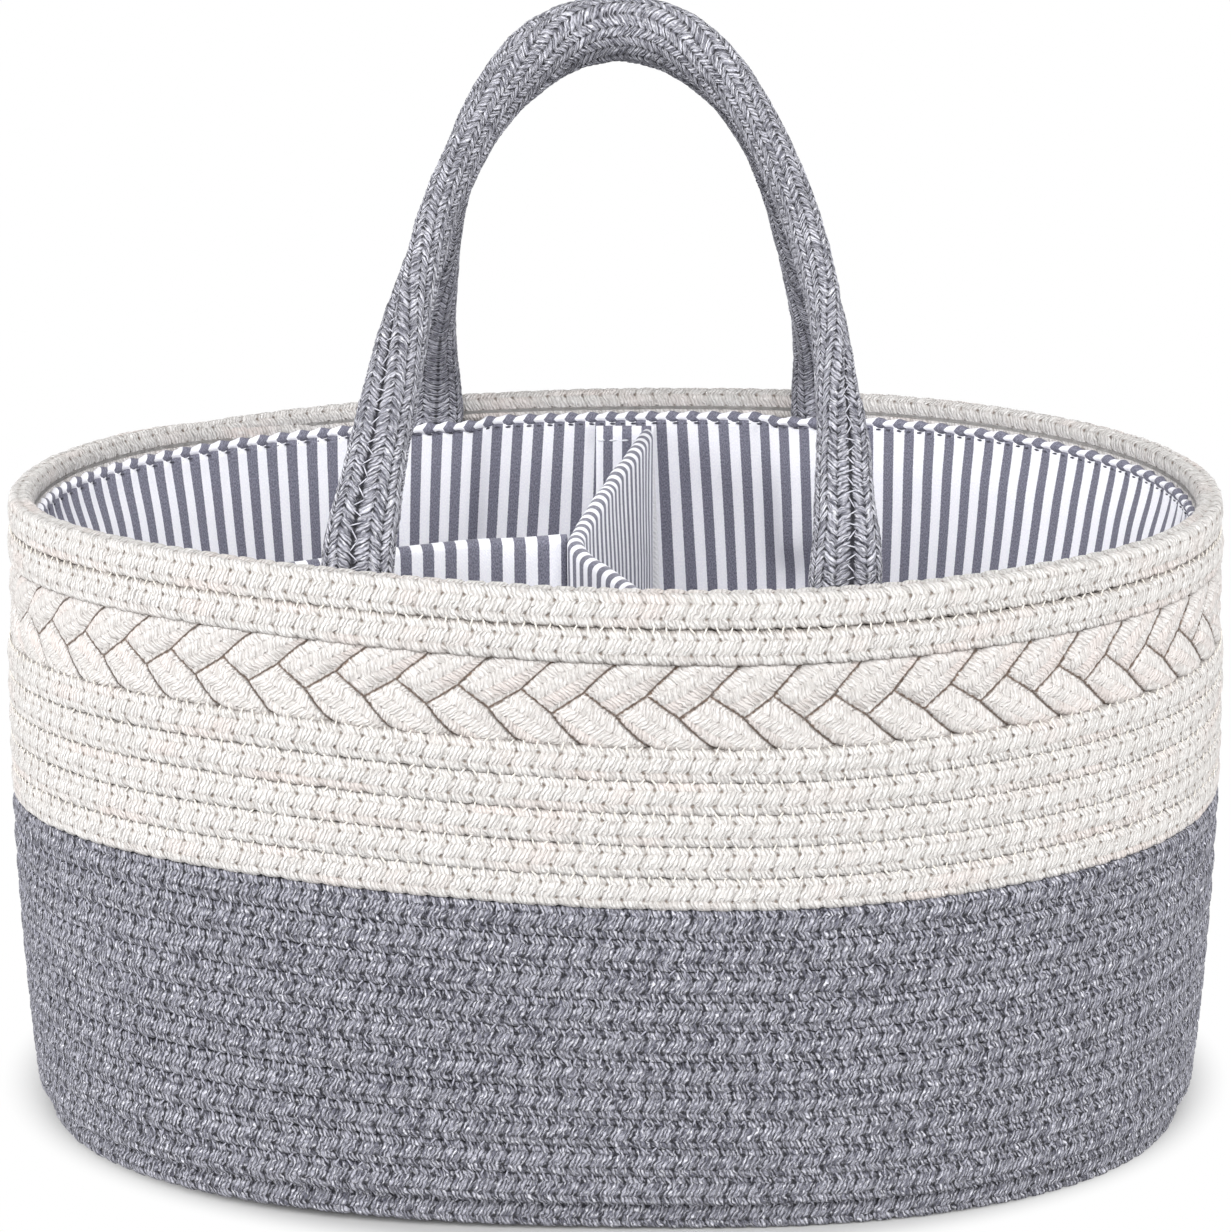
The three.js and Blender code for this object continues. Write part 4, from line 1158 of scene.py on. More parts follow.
# The grip, which the legs lead into; the back right leg comes to it with a small shift left
grip = [(0.78, 0.58, 1.16, 0.52, 0), (0.86, 0.62, 1.12, 0.6, 0), (0.93, 0.8, 1.04, 0.75, 0), (1, 1, 1, 1, 0)]
backGrip = [(0.78, 0.58, 1.16, 0.52, -0.4)] + grip[1:]
handles = {
    "front": {
        "side": -1,
        "spread": 0.068,
        "shift": -0.0023,
        "sway": 0.0046,
        "top": 0.3405,
        "legs": (frontLeftLeg + grip, frontRightLeg + grip),
    },
    "back": {
        "side": 1,
        "spread": 0.066,
        "shift": 0.0035,
        "sway": -0.005,
        "top": 0.3385,
        "legs": (backLeftLeg + grip, backRightLeg + backGrip),
    },
}
strap = {
    "width": 0.0205,
    "gripRadius": 0.009,
    "meetGap": 0.0006,
    "drop": 0.002,
    "bend": 0.04,
    "tailThick": 0.0045,
    "tailLength": 0.046,
    "squareness": 0.92,
    "roundness": 0.8,
    "columns": 8,
    "seamDepth": 0.002,
    "seamWide": 0.0024,
    "seamShadow": 0.0007,
    "seamDeepest": 0.45,
    "turnedIn": (0.6, 0.9),
    "sinkLost": 0.75,
    "shadowLost": 0.8,
    "step": 0.00065,
    "sides": 72,
    "softening": 9,
    "tangentSoftening": 6,
    "footSteps": 12,
}
strapWeave = {
    "Strand Pitch": 0.0026,
    "Column Width": 0.0033,
    "Slant": 1.05,
    "Relief": 0.0004,
    "Round Over": 0.0009,
    "Unevenness": 0.0009,
}
strapStitch = {
    "Spacing": 0.0031,
    "Length": 0.0044,
    "Thread": 0.00021,
    "Lean": 0.7,
    "Looseness": 0.5,
    "Seed": 11,
}
# Where each strap leaves the basket: inwards and up to its last place on it, and to its first on the handle
footLevel = rimTop - rope["rimPitch"] / 2


# The lean at which a strap that bends inwards and then runs straight covers the run and the rise
def leanFor(run, rise):
    low, high = 0.0, math.pi / 2
    for _ in range(60):
        lean = (low + high) / 2
        runLeft = run - strap["bend"] * (1 - math.cos(lean))
        riseLeft = rise - strap["bend"] * math.sin(lean)
        low, high = (lean, high) if runLeft * math.cos(lean) > riseLeft * math.sin(lean) else (low, lean)
    return (low + high) / 2


# A handle's feet, its lean, and the length of its arch from foot to top
def layOutStrap(handle):
    side = handle["side"]
    handle["feet"] = [lengthAtX(handle["shift"] + hand * handle["spread"], side) for hand in (-1, 1)]
    inset = liningOuter + strap["tailThick"] / 2
    feet = wallAt(angleAt(np.array(handle["feet"])), inset, footLevel)
    meetY = math.sqrt((2 * strap["gripRadius"] + strap["meetGap"]) ** 2 - strap["drop"] ** 2) / 2
    handle["footOut"] = float(np.abs(feet[:, 1]).min())
    rise = handle["top"] - footLevel
    handle["lean"] = leanFor(handle["footOut"] - meetY, rise)
    straight = (rise - strap["bend"] * math.sin(handle["lean"])) / math.cos(handle["lean"])
    handle["arch"] = strap["bend"] * handle["lean"] + straight
    normals = planAt(angleAt(np.array(handle["feet"])), footLevel)[1]
    handle["yaws"] = [math.atan2(n[0], abs(n[1])) for n in normals]


# One column of the legs' shares, at shares of the way from the left foot over the top to the right one
def legValue(handle, share, column):
    risen = np.sin(np.pi * share)
    values = []
    for leg in handle["legs"]:
        given = np.array(leg)
        values.append(np.interp(risen, given[:, 0], given[:, column]))
    return np.where(np.asarray(share) < 0.5, values[0], values[1])


def strapCentre(handle, share):
    up = handle["arch"] * np.sin(np.pi * share)
    bent = np.minimum(up / strap["bend"], handle["lean"])
    past = np.maximum(0, up - strap["bend"] * handle["lean"])
    inwards = strap["bend"] * (1 - np.cos(bent)) + past * math.sin(handle["lean"])
    upwards = strap["bend"] * np.sin(bent) + past * math.cos(handle["lean"])
    aside = handle["shift"] + handle["sway"] * np.sin(np.pi * share) + legValue(handle, share, 4) / 1000
    across = np.cos(np.pi * share)
    x = aside - handle["spread"] * np.sign(across) * np.abs(across) ** strap["squareness"]
    return np.stack([x, handle["side"] * (handle["footOut"] - inwards), footLevel + upwards], -1)


def smoothed(values, reach):
    window = np.hanning(2 * reach + 1)
    window /= window.sum()
    padded = repeatedEnds(values, reach)
    if values.ndim == 1:
        return np.convolve(padded, window, "valid")
    return np.stack([np.convolve(column, window, "valid") for column in padded.T], -1)


def unit(vectors):
    return vectors / np.linalg.norm(vectors, axis=1, keepdims=True)


def repeatedEnds(values, count):
    return np.concatenate([np.repeat(values[:1], count, 0), values, np.repeat(values[-1:], count, 0)])


# The strap's centre line, its outward and sideways directions, and its widths, depths and seam turns
def strapFrame(handle):
    dense = np.linspace(0, 1, 4001)
    lengths = lengthsAlong(strapCentre(handle, dense))
    count = int(round(lengths[-1] / strap["step"])) + 1
    share = np.interp(np.linspace(0, lengths[-1], count), lengths, dense)
    plain = strapCentre(handle, share)
    fromFoot = np.minimum(np.arange(count), np.arange(count)[::-1])
    blend = np.minimum(1, fromFoot / strap["footSteps"])[:, None]
    centre = plain + (smoothed(plain, strap["softening"]) - plain) * blend
    tangent = np.gradient(centre, axis=0)
    tangent[0], tangent[-1] = (0, 0, 1), (0, 0, -1)
    tangent = smoothed(unit(tangent), strap["tangentSoftening"])
    risen = np.sin(np.pi * share)
    bent = np.minimum(handle["arch"] * risen / strap["bend"], handle["lean"])
    outer = np.stack([0 * bent, handle["side"] * np.cos(bent), np.sin(bent)], -1)
    radial = unit(-handle["side"] * np.cross(outer, tangent))
    yaw = np.where(share < 0.5, handle["yaws"][0], handle["yaws"][1]) * (1 - bent / handle["lean"])
    turn = -handle["side"] * yaw
    for vectors in (outer, radial):
        x, y = vectors[:, 0].copy(), vectors[:, 1].copy()
        vectors[:, 0] = x * np.cos(turn) - y * np.sin(turn)
        vectors[:, 1] = x * np.sin(turn) + y * np.cos(turn)
    shape = [smoothed(legValue(handle, share, column), strap["softening"]) for column in (1, 2, 3)]
    return centre, outer, radial, shape


# The strap's two tails, which run down behind the lining from its feet
def strapTails(handle, centre, steps):
    inset = liningOuter + strap["tailThick"] / 2
    down = np.linspace(1, 0, steps, endpoint=False) * strap["tailLength"]
    tails = []
    for end, place in ((0, handle["feet"][0]), (-1, handle["feet"][1])):
        tail = wallAt(angleAt(np.full(steps, place)), inset, footLevel - down)
        tail[:, :2] += (centre[end] - wallAt(angleAt(place), inset, footLevel))[:2]
        tails.append(tail)
    return tails


def buildStrap(name, handle):
    layOutStrap(handle)
    centre, outer, radial, (wide, deep, seam) = strapFrame(handle)
    tailSteps = int(strap["tailLength"] / strap["step"] / 2)
    leftTail, rightTail = strapTails(handle, centre, tailSteps)
    centre = np.concatenate([leftTail, centre, rightTail[::-1]])
    outer, radial, wide, deep, seam = [repeatedEnds(v, tailSteps) for v in (outer, radial, wide, deep, seam)]
    halfWide, halfDeep = wide * strap["gripRadius"], deep * strap["gripRadius"]
    turns = np.linspace(0, 2 * np.pi, strap["sides"], endpoint=False)
    angle = turns[None, :] + np.pi * seam[:, None]
    fromSeam = np.minimum(turns, 2 * np.pi - turns) / np.pi * strap["columns"] * strapWeave["Column Width"]
    across = fromSeam - strapWeave["Column Width"] / 2
    notch = np.exp(-((fromSeam / strap["seamWide"]) ** 2)) * strap["seamDepth"]
    turned = smoothstep(*strap["turnedIn"], seam)[:, None]
    sink = np.minimum(notch[None, :], halfDeep[:, None] * strap["seamDeepest"])
    sink = sink * (1 - strap["sinkLost"] * turned)
    # Painted shade along the seam's slit, fainter where the seam turns inwards
    dark = np.exp(-((fromSeam / strap["seamShadow"]) ** 2))[None, :] * (1 - strap["shadowLost"] * turned)
    outShare = np.sign(np.cos(angle)) * np.abs(np.cos(angle)) ** strap["roundness"]
    sideShare = np.sign(np.sin(angle)) * np.abs(np.sin(angle)) ** strap["roundness"]
    rows = centre[:, None] + outer[:, None] * ((halfDeep[:, None] - sink) * outShare)[..., None]
    rows = rows + radial[:, None] * ((halfWide[:, None] - sink) * sideShare)[..., None]
    along = lengthsAlong(centre)[:, None]
    mesh = gridMesh(name, rows, around=True, capped=True, along=along, across=across[None, :], seam=dark)
    cover = shapeWithNodes(name, facingOut(mesh), coverTree, dict(strapWeave, Material=strapBraid))
    between = (rows[:, 2] + rows[:, -2]) / 2
    keep = slice(tailSteps // 2, len(rows) - tailSteps // 2)
    path = (between - unit(between - centre) * 0.0002)[keep]
    lateral = unit(rows[:, 2] - rows[:, -2])[keep]
    stitches = buildStitches(name + "Stitches", path, strapStitch, seamThread, lateral)
    joint = f"{name.replace('Strap', '')}_handle"
    # Each strap folds outwards over the rim; its pieces have their places baked into their meshes
    for made in (cover, stitches):
        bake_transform(made)
    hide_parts(f"{joint}_sleeve", f"{joint}_left_tail", f"{joint}_right_tail")
    return centre[tailSteps:-tailSteps]


# The grip's core: a short length of thin rope inside the strap
gripCore = {"from": 0.3, "to": 0.7, "step": 0.0016, "endShare": 0.3, "endLength": 0.004}
coreShape = dict(wallRope, Material=coreRope)
coreShape.update({"Half Across": 0.0026, "Half Up": 0.0026, "Squareness": 2.0, "Sides": 10})
coreShape.update({"Outer Detail": 0.0, "Column Shift": 0.0, "Relief": 0.0002, "Unevenness": 0.0002})


def buildCore(key, spine):
    first, last = [int(len(spine) * gripCore[end]) for end in ("from", "to")]
    points, along = evenly(spine[first:last], gripCore["step"])
    fromEnd = np.minimum(along, along[-1] - along)
    taper = np.minimum(1, fromEnd / gripCore["endLength"] + gripCore["endShare"])
    mesh = pathMesh(f"{key}Core", points, along=along, taper=taper, covered=np.zeros(len(points)))
    corePiece = shapeWithNodes(f"{key}Core", mesh, ropeTree, coreShape)
    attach(corePiece, f"{key}_handle")
    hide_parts(f"{key}_handle_core")


for key, handle in handles.items():
    buildCore(key, buildStrap(f"{key}Strap", handle))
print("handles folded")


# Lining: one sheet round the wall with pockets for the straps' tails, a floor, and a rolled hem
liningShape = {
    "columns": 720,
    "rows": 64,
    "pucker": 0.0005,
    "puckerDrop": 0.012,
    "slack": 0.0012,
    "endSlack": 0.0016,
    "sag": 0.13,
    "sagFrom": 0.03,
    "sagHeight": 0.1,
    "sagMost": 1.2,
    "sagBehind": (-0.06, -0.015),
    "sagAbove": (0.008, 0.03),
    "endFrom": 0.1,
    "endTo": 0.17,
    "heldBelow": 0.04,
    "heldAbove": 0.02,
    "slackScale": 14,
    "flat": (1.005, 0.182),
    "floorFlat": (0.352, 0.226),
    "floorArea": 0.0694,
    "floorRings": 30,
    "floorSides": 240,
    "floorGap": 0.0006,
    "floorWave": 0.0005,
    "floorScale": 22,
    "floorLift": 0.0003,
    "floorHub": 0.02,
}


# 1 where a strap's tail pushes the lining inwards, 0 where it lies on the rope
def pocketAt(length, z):
    feet = [foot for handle in handles.values() for foot in handle["feet"]]
    around = np.min([np.abs((length - foot + girth * 1.5) % girth - girth / 2) for foot in feet], axis=0)
    beside = 1 - smoothstep(strap["width"] / 2, strap["width"] / 2 + lining["pocketRamp"], around)
    bottom = footLevel - strap["tailLength"]
    return beside * smoothstep(bottom - 2 * lining["pocketRamp"], bottom, z)


# The loose lining hangs in from the wall at the tub's two ends, clear of the divider's side flap
def sagged(points):
    x, y, z = np.moveaxis(points, -1, 0)
    depth = np.clip((lining["top"] - z) / liningShape["sagHeight"], 0, liningShape["sagMost"])
    free = np.where(x < 0, smoothstep(*liningShape["sagBehind"], y), 1.0)
    pull = np.maximum(0, np.abs(x) - liningShape["sagFrom"]) * liningShape["sag"] * depth * free
    return np.stack([x - np.sign(x) * pull * smoothstep(*liningShape["sagAbove"], z), y, z], -1)


def buildLining():
    lengths = np.linspace(0, girth, liningShape["columns"], endpoint=False)[None, :]
    heights = np.linspace(floorTop - lining["thick"], lining["top"], liningShape["rows"])[:, None]
    lengths, heights = np.broadcast_arrays(lengths, heights)
    angle = angleAt(lengths)
    drop = np.exp(-(lining["top"] - heights) / liningShape["puckerDrop"])
    pucker = liningShape["pucker"] * (1 + np.sin(2 * np.pi * lengths / stripePeriod)) * drop
    wall = wallAt(angle, 0, heights)
    atEnd = smoothstep(liningShape["endFrom"], liningShape["endTo"], np.abs(wall[..., 0]))
    slack = softField(wall, liningShape["slackScale"], 3.1) + 0.5
    loose = (liningShape["slack"] + liningShape["endSlack"] * atEnd) * slack
    loose = loose * smoothstep(0, liningShape["heldBelow"], heights - floorTop)
    loose = loose * smoothstep(0, liningShape["heldAbove"], lining["top"] - heights)
    inset = liningOuter + pocketAt(lengths, heights) * lining["pocketDepth"] + pucker + loose
    outside = tilted(sagged(wallAt(angle, inset, heights)))
    inside = tilted(sagged(wallAt(angle, inset + lining["thick"] * lining["clothShare"], heights)))
    rows = np.concatenate([outside, inside[::-1]])
    across = np.concatenate([lengths, lengths[::-1]])
    up = np.concatenate([heights, heights[::-1]])
    mesh = gridMesh("liningWall", rows.transpose(1, 0, 2), around=True, closed=True, across=across.T, up=up.T)
    sheet = addPiece("liningWall", facingOut(mesh), twill)
    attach(sheet, "basket")
    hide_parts("lining_wall")
    return sheet


def buildFloor():
    rings, sides = liningShape["floorRings"], liningShape["floorSides"]
    shares = np.maximum(np.linspace(0, 1, rings), liningShape["floorHub"])[:, None]
    angles = np.linspace(0, 2 * np.pi, sides, endpoint=False)[None, :]
    top = wallAt(np.broadcast_to(angles, (rings, sides)), liningInner + liningShape["floorGap"], floorTop)
    top[..., :2] *= shares[..., None]
    top[..., 2] = floorTop + liningShape["floorWave"] * (softField(top, liningShape["floorScale"], 8.2) - 1)
    under = top.copy()
    under[..., 2] = floorTop - lining["thick"] + liningShape["floorLift"]
    loop = np.concatenate([top, under[::-1]])
    mesh = gridMesh("liningFloor", loop, around=True, capped=True, across=loop[..., 0], up=loop[..., 1])
    cloth = addPiece("liningFloor", facingOut(mesh), twill)
    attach(cloth, "basket")
    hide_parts("lining_floor")


hem = {
    "halfHigh": 0.0017,
    "halfThick": 0.0016,
    "middle": 0.1912,
    "pressed": 0.0011,
    "slant": 0.0018,
    "slantShare": 0.7,
    "pucker": 0.0004,
    "puckerThick": 0.8,
    "steps": 1680,
    "sides": 16,
    "stitchProud": 0.0006,
    "stitchBelow": 0.0004,
}
hemStitch = {
    "Spacing": stripePeriod / 2,
    "Length": 0.0023,
    "Thread": 0.0004,
    "Lean": math.pi / 2,
    "Looseness": 0.15,
    "Seed": 5,
}


def pocketAtRim(lengths):
    return pocketAt(lengths, np.full_like(lengths, rimTop)) * lining["pocketDepth"]


def buildHem():
    lengths = np.linspace(0, girth, hem["steps"], endpoint=False)[:, None]
    turns = np.linspace(0, 2 * np.pi, hem["sides"], endpoint=False)[None, :]
    pocket = pocketAtRim(lengths)
    swell = hem["pucker"] * np.cos(2 * np.pi * lengths / stripePeriod)
    pressed = hem["pressed"] * (1 - np.clip(pocket / lining["pocketDepth"] * 1.5, 0, 1))
    thick = hem["halfThick"] + swell * hem["puckerThick"]
    inset = liningOuter + hem["halfThick"] + pocket - pressed - thick * np.cos(turns)
    level = hem["middle"] + (hem["halfHigh"] + swell) * np.sin(turns)
    rows = tilted(wallAt(np.broadcast_to(angleAt(lengths), inset.shape), inset, level))
    wrap = np.where(turns < np.pi, turns, turns - 2 * np.pi)
    across = lengths - hem["slant"] * np.abs(wrap) * hem["slantShare"]
    mesh = gridMesh("liningHem", rows, around=True, closed=True, across=across, up=turns * hem["halfThick"])
    roll = addPiece("liningHem", facingOut(mesh), twill)
    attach(roll, "basket")
    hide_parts("lining_hem")
    # The running stitch under the roll, in near-black thread that also paints the shadow line there
    fine = np.linspace(0, girth, 2880)
    inset = liningOuter + lining["thick"] * lining["clothShare"] + hem["stitchProud"] + pocketAtRim(fine)
    path = tilted(wallAt(angleAt(fine), inset, hem["middle"] - hem["halfHigh"] - hem["stitchBelow"]))
    run = buildStitches("hemStitches", path, hemStitch, stitchAndShadowThread)
    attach(run, "basket")
    return [roll, run]


sheet = buildLining()
buildFloor()
trim = buildHem()
print("lining sewn in")

# Divider: padded panels on curved plans, with flaps that press onto the lining
divider = {
    "thick": 0.0052,
    "top": 0.188,
    "endInset": 0.0134,
    "steps": 150,
    "sideRows": 34,
    "topRows": 10,
    "levels": 9,
    "puff": 0.0006,
    "puffFrom": 0.012,
    "sway": 0.0011,
    "swayScale": 24,
    "freeFrom": 0.03,
    "topWave": 0.0009,
    "waveScale": 45,
    "endThick": 0.72,
    "endRound": 0.004,
    "panelGap": 0.0008,
    "flapWidth": 0.022,
    "flapTop": 0.189,
    "flapBottom": 0.118,
    "flapThick": 0.0016,
    "tapeWidth": 0.02,
    "tapeMargin": 0.005,
    "seamMargin": 0.002,
    "seamBelow": 0.005,
    "tapeThick": 0.001,
    "plateSteps": (28, 40),
    "edgeRound": 0.0012,
}
crossPlanShares = [
    (0.069, 1), (0.063, 0.932), (0.006, 0.442), (-0.028, 0.136), (-0.052, -0.105), (-0.0625, -0.24),
    (-0.042, -0.373), (0.0127, -0.586), (0.079, -0.932), (0.093, -1),
]
sidePlanShares = [
    (-0.062, -0.188), (-0.19, -0.225), (-0.27, -0.26), (-0.356, -0.313), (-0.485, -0.412),
    (-0.773, -0.582), (-0.9, -0.655),
]


# Centripetal curve through the plan's points, the way the frame's panels are bent
def planCurve(shares, samples=1200):
    given = np.array(shares) * (tub["halfLength"], tub["halfWidth"])
    points = np.concatenate([[2 * given[0] - given[1]], given, [2 * given[-1] - given[-2]]])
    curve = []
    for k in range(len(given) - 1):
        before, here, there, after = points[k:k + 4]
        spans = [math.sqrt(math.dist(a, b)) for a, b in ((before, here), (here, there), (there, after))]
        straight = (there - here) / spans[1]
        leave = (here - before) / spans[0] - (there - before) / (spans[0] + spans[1]) + straight
        reach = straight - (after - here) / (spans[1] + spans[2]) + (after - there) / spans[2]
        leave, reach = leave * spans[1], reach * spans[1]
        t = np.linspace(0, 1, samples // (len(given) - 1), endpoint=k == len(given) - 2)[:, None]
        curve.append(
            (2 * t**3 - 3 * t**2 + 1) * here + (t**3 - 2 * t**2 + t) * leave
            + (3 * t**2 - 2 * t**3) * there + (t**3 - t**2) * reach
        )
    flat = np.concatenate(curve)
    return np.column_stack([flat, np.zeros(len(flat))])


crossPlan, sidePlan = planCurve(crossPlanShares), planCurve(sidePlanShares)


def panelReach(plan, z, clearOf):
    room = insideTub(plan, divider["endInset"], z) & insideTub(plan, divider["endInset"], rimTop)
    if clearOf is not None:
        gap = np.linalg.norm(plan[:, None, :2] - clearOf[None, :, :2], axis=-1).min(1)
        room &= gap > divider["thick"] / 2 + divider["panelGap"]
    lengths = lengthsAlong(plan)
    return lengths[room].min(), lengths[room].max()


def buildPanel(name, nodes, plan, clearOf, seed):
    half = divider["thick"] / 2
    low, high = floorTop + lining["seat"], divider["top"]
    lengths = lengthsAlong(plan)
    tangents = np.gradient(plan, lengths, axis=0)
    tangents /= np.linalg.norm(tangents, axis=1, keepdims=True)
    rise = np.linspace(low, high - half, divider["sideRows"])
    arc = np.linspace(0, np.pi, divider["topRows"] + 2)[1:-1]
    offsets = np.concatenate([np.full(len(rise), half), half * np.cos(arc), np.full(len(rise), -half)])
    levels = np.concatenate([rise, high - half + half * np.sin(arc), rise[::-1]])
    spans = {z: panelReach(plan, z, clearOf) for z in np.linspace(low, high, divider["levels"])}
    knots = np.array(sorted(spans))
    fromAt = np.interp(levels, knots, [spans[z][0] for z in knots])
    toAt = np.interp(levels, knots, [spans[z][1] for z in knots])
    share = np.linspace(0, 1, divider["steps"])[:, None]
    place = fromAt[None, :] + share * (toAt - fromAt)[None, :]
    x, y = [np.interp(place, lengths, plan[:, axis]) for axis in (0, 1)]
    tx, ty = [np.interp(place, lengths, tangents[:, axis]) for axis in (0, 1)]
    upright = np.broadcast_to(levels[None, :], place.shape)
    sample = np.stack([x, y, upright], -1)
    lean = softField(sample, divider["swayScale"], seed)
    ripple = softField(sample * (1, 1, 0), divider["waveScale"], seed + 5)
    ends, tips = [
        smoothstep(0, divider[reach], place - fromAt) * smoothstep(0, divider[reach], toAt - place)
        for reach in ("puffFrom", "endRound")
    ]
    free = smoothstep(low, low + divider["freeFrom"], upright)
    belly = ends * np.sin(np.pi * np.clip((upright - low) / (high - low), 0, 1))
    flatter = divider["endThick"] + (1 - divider["endThick"]) * tips
    puffed = offsets[None, :] * (1 + divider["puff"] / half * belly) * flatter
    aside = puffed + divider["sway"] * lean * ends * free
    lift = divider["topWave"] * ripple * smoothstep(high - divider["freeFrom"], high, upright)
    rows = np.stack([x + ty * aside, y - tx * aside, upright + lift], -1)
    around = np.concatenate([[0], np.cumsum(np.hypot(np.diff(offsets), np.diff(levels)))])[None, :]
    mesh = gridMesh(name, rows, around=True, capped=True, across=place, up=around)
    panel = addPiece(name, facingOut(mesh), twill)
    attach(panel, "divider")
    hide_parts(nodes)


buildPanel("crossPanel", "cross_panel_cover", crossPlan, None, 2.0)
buildPanel("sidePanel", "side_panel_cover", sidePlan, crossPlan, 9.0)


# Plates that follow the wall: the divider's flaps, which hang straight down, and the tape under them
def wallPlate(name, material, start, width, outer, thick, low, high, plumb=False, stripeFrom=0.0):
    across, upwards = divider["plateSteps"]
    lengths = np.linspace(start, start + width, across)[:, None]
    levels = np.linspace(low, high, upwards)[None, :]
    edge = rounded(np.minimum(lengths - start, start + width - lengths), divider["edgeRound"])
    fold = rounded(np.minimum(levels - low, high - levels), divider["edgeRound"]) * edge
    angles = np.broadcast_to(angleAt(lengths), fold.shape)
    faces = []
    for face in (-1, 1):
        inset = outer + thick / 2 + face * thick / 2 * np.maximum(fold, 0.25)
        plate = wallAt(angles, inset, rimTop if plumb else levels)
        plate[..., 2] = levels
        faces.append(plate)
    loop = np.concatenate([faces[1], faces[0][:, ::-1]], axis=1)
    up = np.concatenate([levels, levels[:, ::-1]], axis=1)
    place = stripeFrom + lengths - start
    mesh = gridMesh(name, loop, around=True, capped=True, across=place, up=up)
    return addPiece(name, facingOut(mesh), material)


def lengthWherePlanMeets(plan, fromEnd):
    lengths = np.linspace(0, girth, 1200)
    outline = wallAt(angleAt(lengths), divider["endInset"], divider["flapTop"])
    half = plan[len(plan) // 2:] if fromEnd else plan[:len(plan) // 2]
    gaps = np.linalg.norm(outline[:, None, :2] - half[None, :, :2], axis=-1)
    return lengths[gaps.min(1).argmin()]


flaps = {"back": (crossPlan, False), "front": (crossPlan, True), "side": (sidePlan, True)}
flapStitch = {
    "Spacing": 0.0034,
    "Length": 0.003,
    "Thread": 0.0004,
    "Lean": math.pi / 2,
    "Looseness": 0.1,
    "Seed": 3,
}


def buildFlap(key, plan, fromEnd):
    start = lengthWherePlanMeets(plan, fromEnd) - divider["thick"] / 2
    low, high = divider["flapBottom"], divider["flapTop"]
    tapeOuter = liningInner + lining["seat"]
    flapOuter = tapeOuter + divider["tapeThick"] + lining["seat"]
    size = (divider["flapWidth"], flapOuter, divider["flapThick"])
    flap = wallPlate(f"{key}Flap", twill, start, *size, low, high, plumb=True, stripeFrom=0.001)
    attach(flap, "divider")
    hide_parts(f"{key}_tab")
    edge = start + (divider["flapWidth"] - divider["tapeWidth"]) / 2
    low, high = low + divider["tapeMargin"], high - divider["tapeMargin"]
    size = (divider["tapeWidth"], tapeOuter, divider["tapeThick"])
    tape = wallPlate(f"{key}Tape", touchTape, edge, *size, low, high)
    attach(tape, "basket")
    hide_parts(f"{key}_loop_patch")
    margin = divider["seamMargin"]
    fine = np.linspace(start + margin, start + divider["flapWidth"] - margin, 60)
    path = wallAt(angleAt(fine), flapOuter + divider["flapThick"] + 0.0002, rimTop)
    path[:, 2] = divider["flapTop"] - divider["seamBelow"]
    row = buildStitches(f"{key}FlapStitches", path, flapStitch, whiteThread)
    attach(row, "divider")


for key, (plan, fromEnd) in flaps.items():
    buildFlap(key, plan, fromEnd)
for node in ("cross_panel_board", "side_panel_board"):
    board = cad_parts[node]
    board.data.materials.clear()
    board.data.materials.append(felt)
print("divider set in")

# Studio: a white floor that fades to a plain white behind, a soft sky and four soft lights
studio = {
    "middle": (0, 0, 0.15),
    "floorSize": 14.0,
    "fadeFrom": 0.96,
    "fadeTo": 1.08,
    "sky": 0.245,
    "lights": {
        "front": ((0.0, -3.2, 3.0), 3.4, 171.0),
        "left": ((-2.0, -0.9, 0.7), 1.6, 52.0),
        "right": ((2.0, -0.9, 0.7), 1.6, 42.0),
        "back": ((0.0, 3.4, 1.0), 1.8, 95.0),
    },
}


# 1 for the rays by which the camera sees the white surroundings, 0 for those that light the caddy
def seenShare(tree):
    rays = addNode(tree, "ShaderNodeLightPath").outputs
    seen = calc(tree, "MAXIMUM", rays["Is Camera Ray"], rays["Is Glossy Ray"])
    return calc(tree, "MAXIMUM", seen, rays["Is Transmission Ray"])


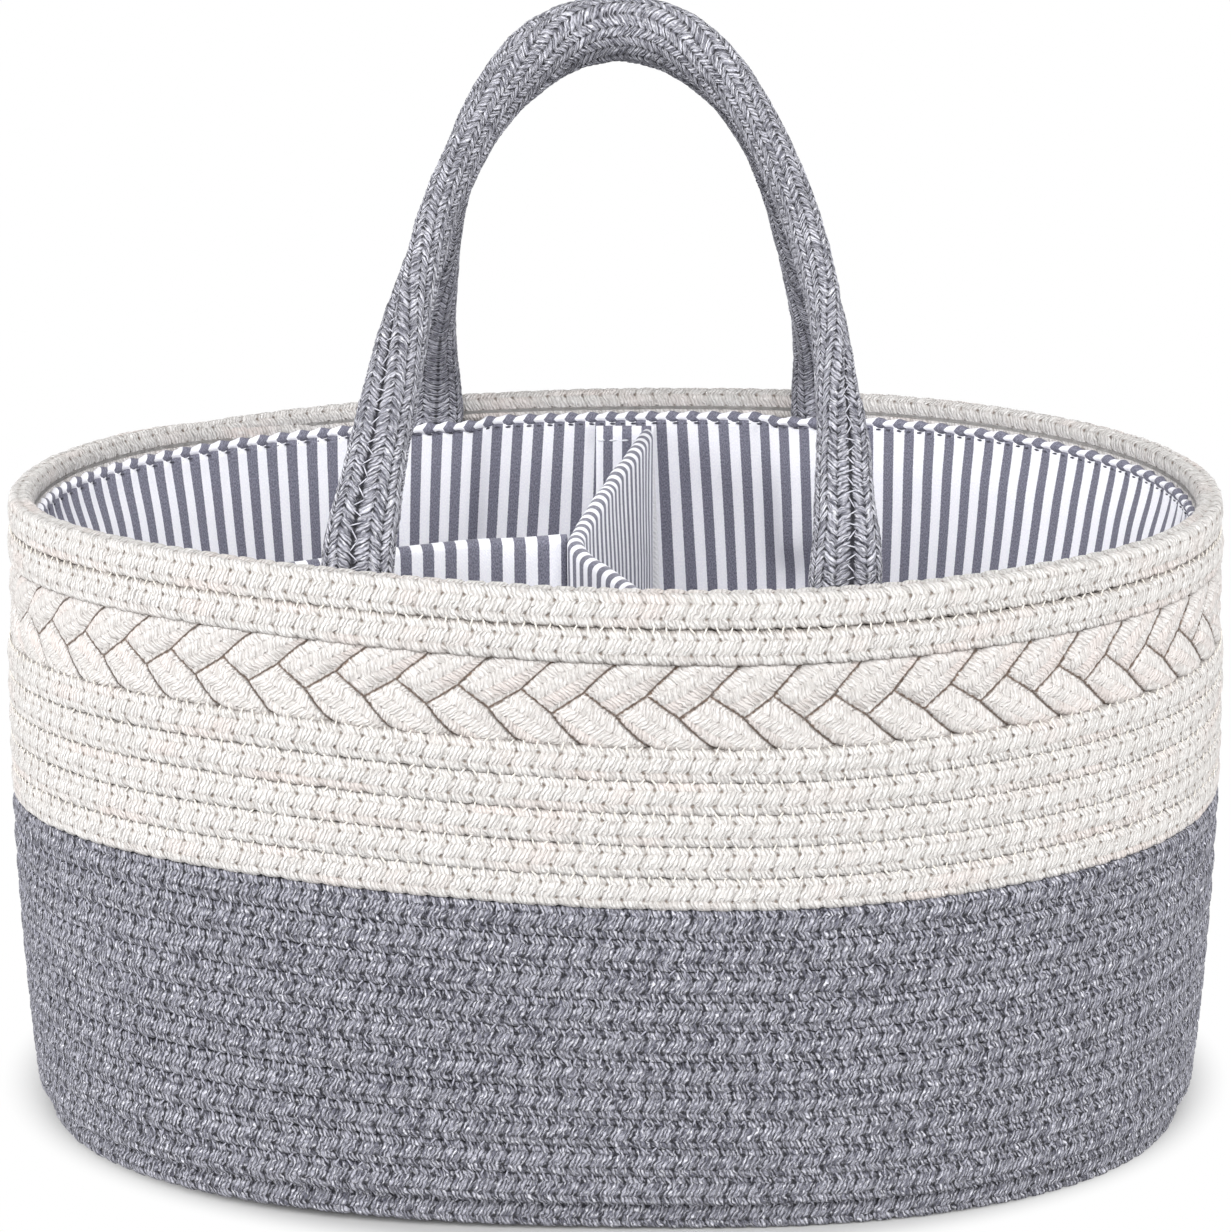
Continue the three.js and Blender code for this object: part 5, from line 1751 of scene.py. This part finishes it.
def buildFloorPlane():
    half = studio["floorSize"] / 2
    mesh = bpy.data.meshes.new("floor")
    corners = [(-half, -half, 0), (half, -half, 0), (half, half, 0), (-half, half, 0)]
    mesh.from_pydata(corners, [], [(0, 1, 2, 3)])
    material = bpy.data.materials.new("whiteFloor")
    material.use_nodes = True
    tree = material.node_tree
    shader = tree.nodes["Principled BSDF"]
    shader.inputs["Base Color"].default_value = colour(0.5, 0.5, 0.5)
    shader.inputs["Roughness"].default_value = 0.9
    glow = addNode(tree, "ShaderNodeEmission", {"Color": colour(1, 1, 1)})
    coordinates = addNode(tree, "ShaderNodeTexCoord").outputs["Object"]
    shares = vectorCalc(tree, "DIVIDE", coordinates, combine(tree, tub["halfLength"], tub["halfWidth"], 1.0))
    far = ramp(tree, vectorCalc(tree, "LENGTH", shares), studio["fadeFrom"], studio["fadeTo"])
    seen = times(tree, far, seenShare(tree))
    mix = addNode(tree, "ShaderNodeMixShader", {0: seen, 1: shader.outputs[0], 2: glow.outputs[0]})
    tree.links.new(mix.outputs[0], tree.nodes["Material Output"].inputs["Surface"])
    addPiece("floor", mesh, material)


def buildSky():
    world = bpy.data.worlds.new("studio")
    bpy.context.scene.world = world
    world.use_nodes = True
    tree = world.node_tree
    back = tree.nodes["Background"]
    back.inputs["Color"].default_value = colour(1, 1, 1)
    strength = plus(tree, times(tree, seenShare(tree), 1 - studio["sky"]), studio["sky"])
    tree.links.new(strength, back.inputs["Strength"])


def aimed(place, target):
    return (Vector(target) - Vector(place)).to_track_quat("-Z", "Y").to_euler()


def buildLights():
    for name, (place, size, power) in studio["lights"].items():
        light = bpy.data.lights.new(name, "AREA")
        light.size = size
        light.energy = power
        lamp = bpy.data.objects.new(name, light)
        lamp.location = place
        lamp.rotation_euler = aimed(place, studio["middle"])
        bpy.context.scene.collection.objects.link(lamp)


camera = {
    "place": (0, -0.95782, 0.4417),
    "target": (0, 0, 0.15434),
    "focal": 3135.45,
    "frame": 1232,
    "sensor": 36,
}


def buildCamera():
    data = bpy.data.cameras.new("camera")
    data.sensor_width = camera["sensor"]
    data.lens = camera["focal"] / camera["frame"] * camera["sensor"]
    eye = bpy.data.objects.new("camera", data)
    eye.location = camera["place"]
    eye.rotation_euler = aimed(camera["place"], camera["target"])
    bpy.context.scene.collection.objects.link(eye)
    bpy.context.scene.camera = eye


buildFloorPlane()
buildSky()
buildLights()
buildCamera()
bpy.context.scene.view_settings.view_transform = "Standard"
print("studio lit")
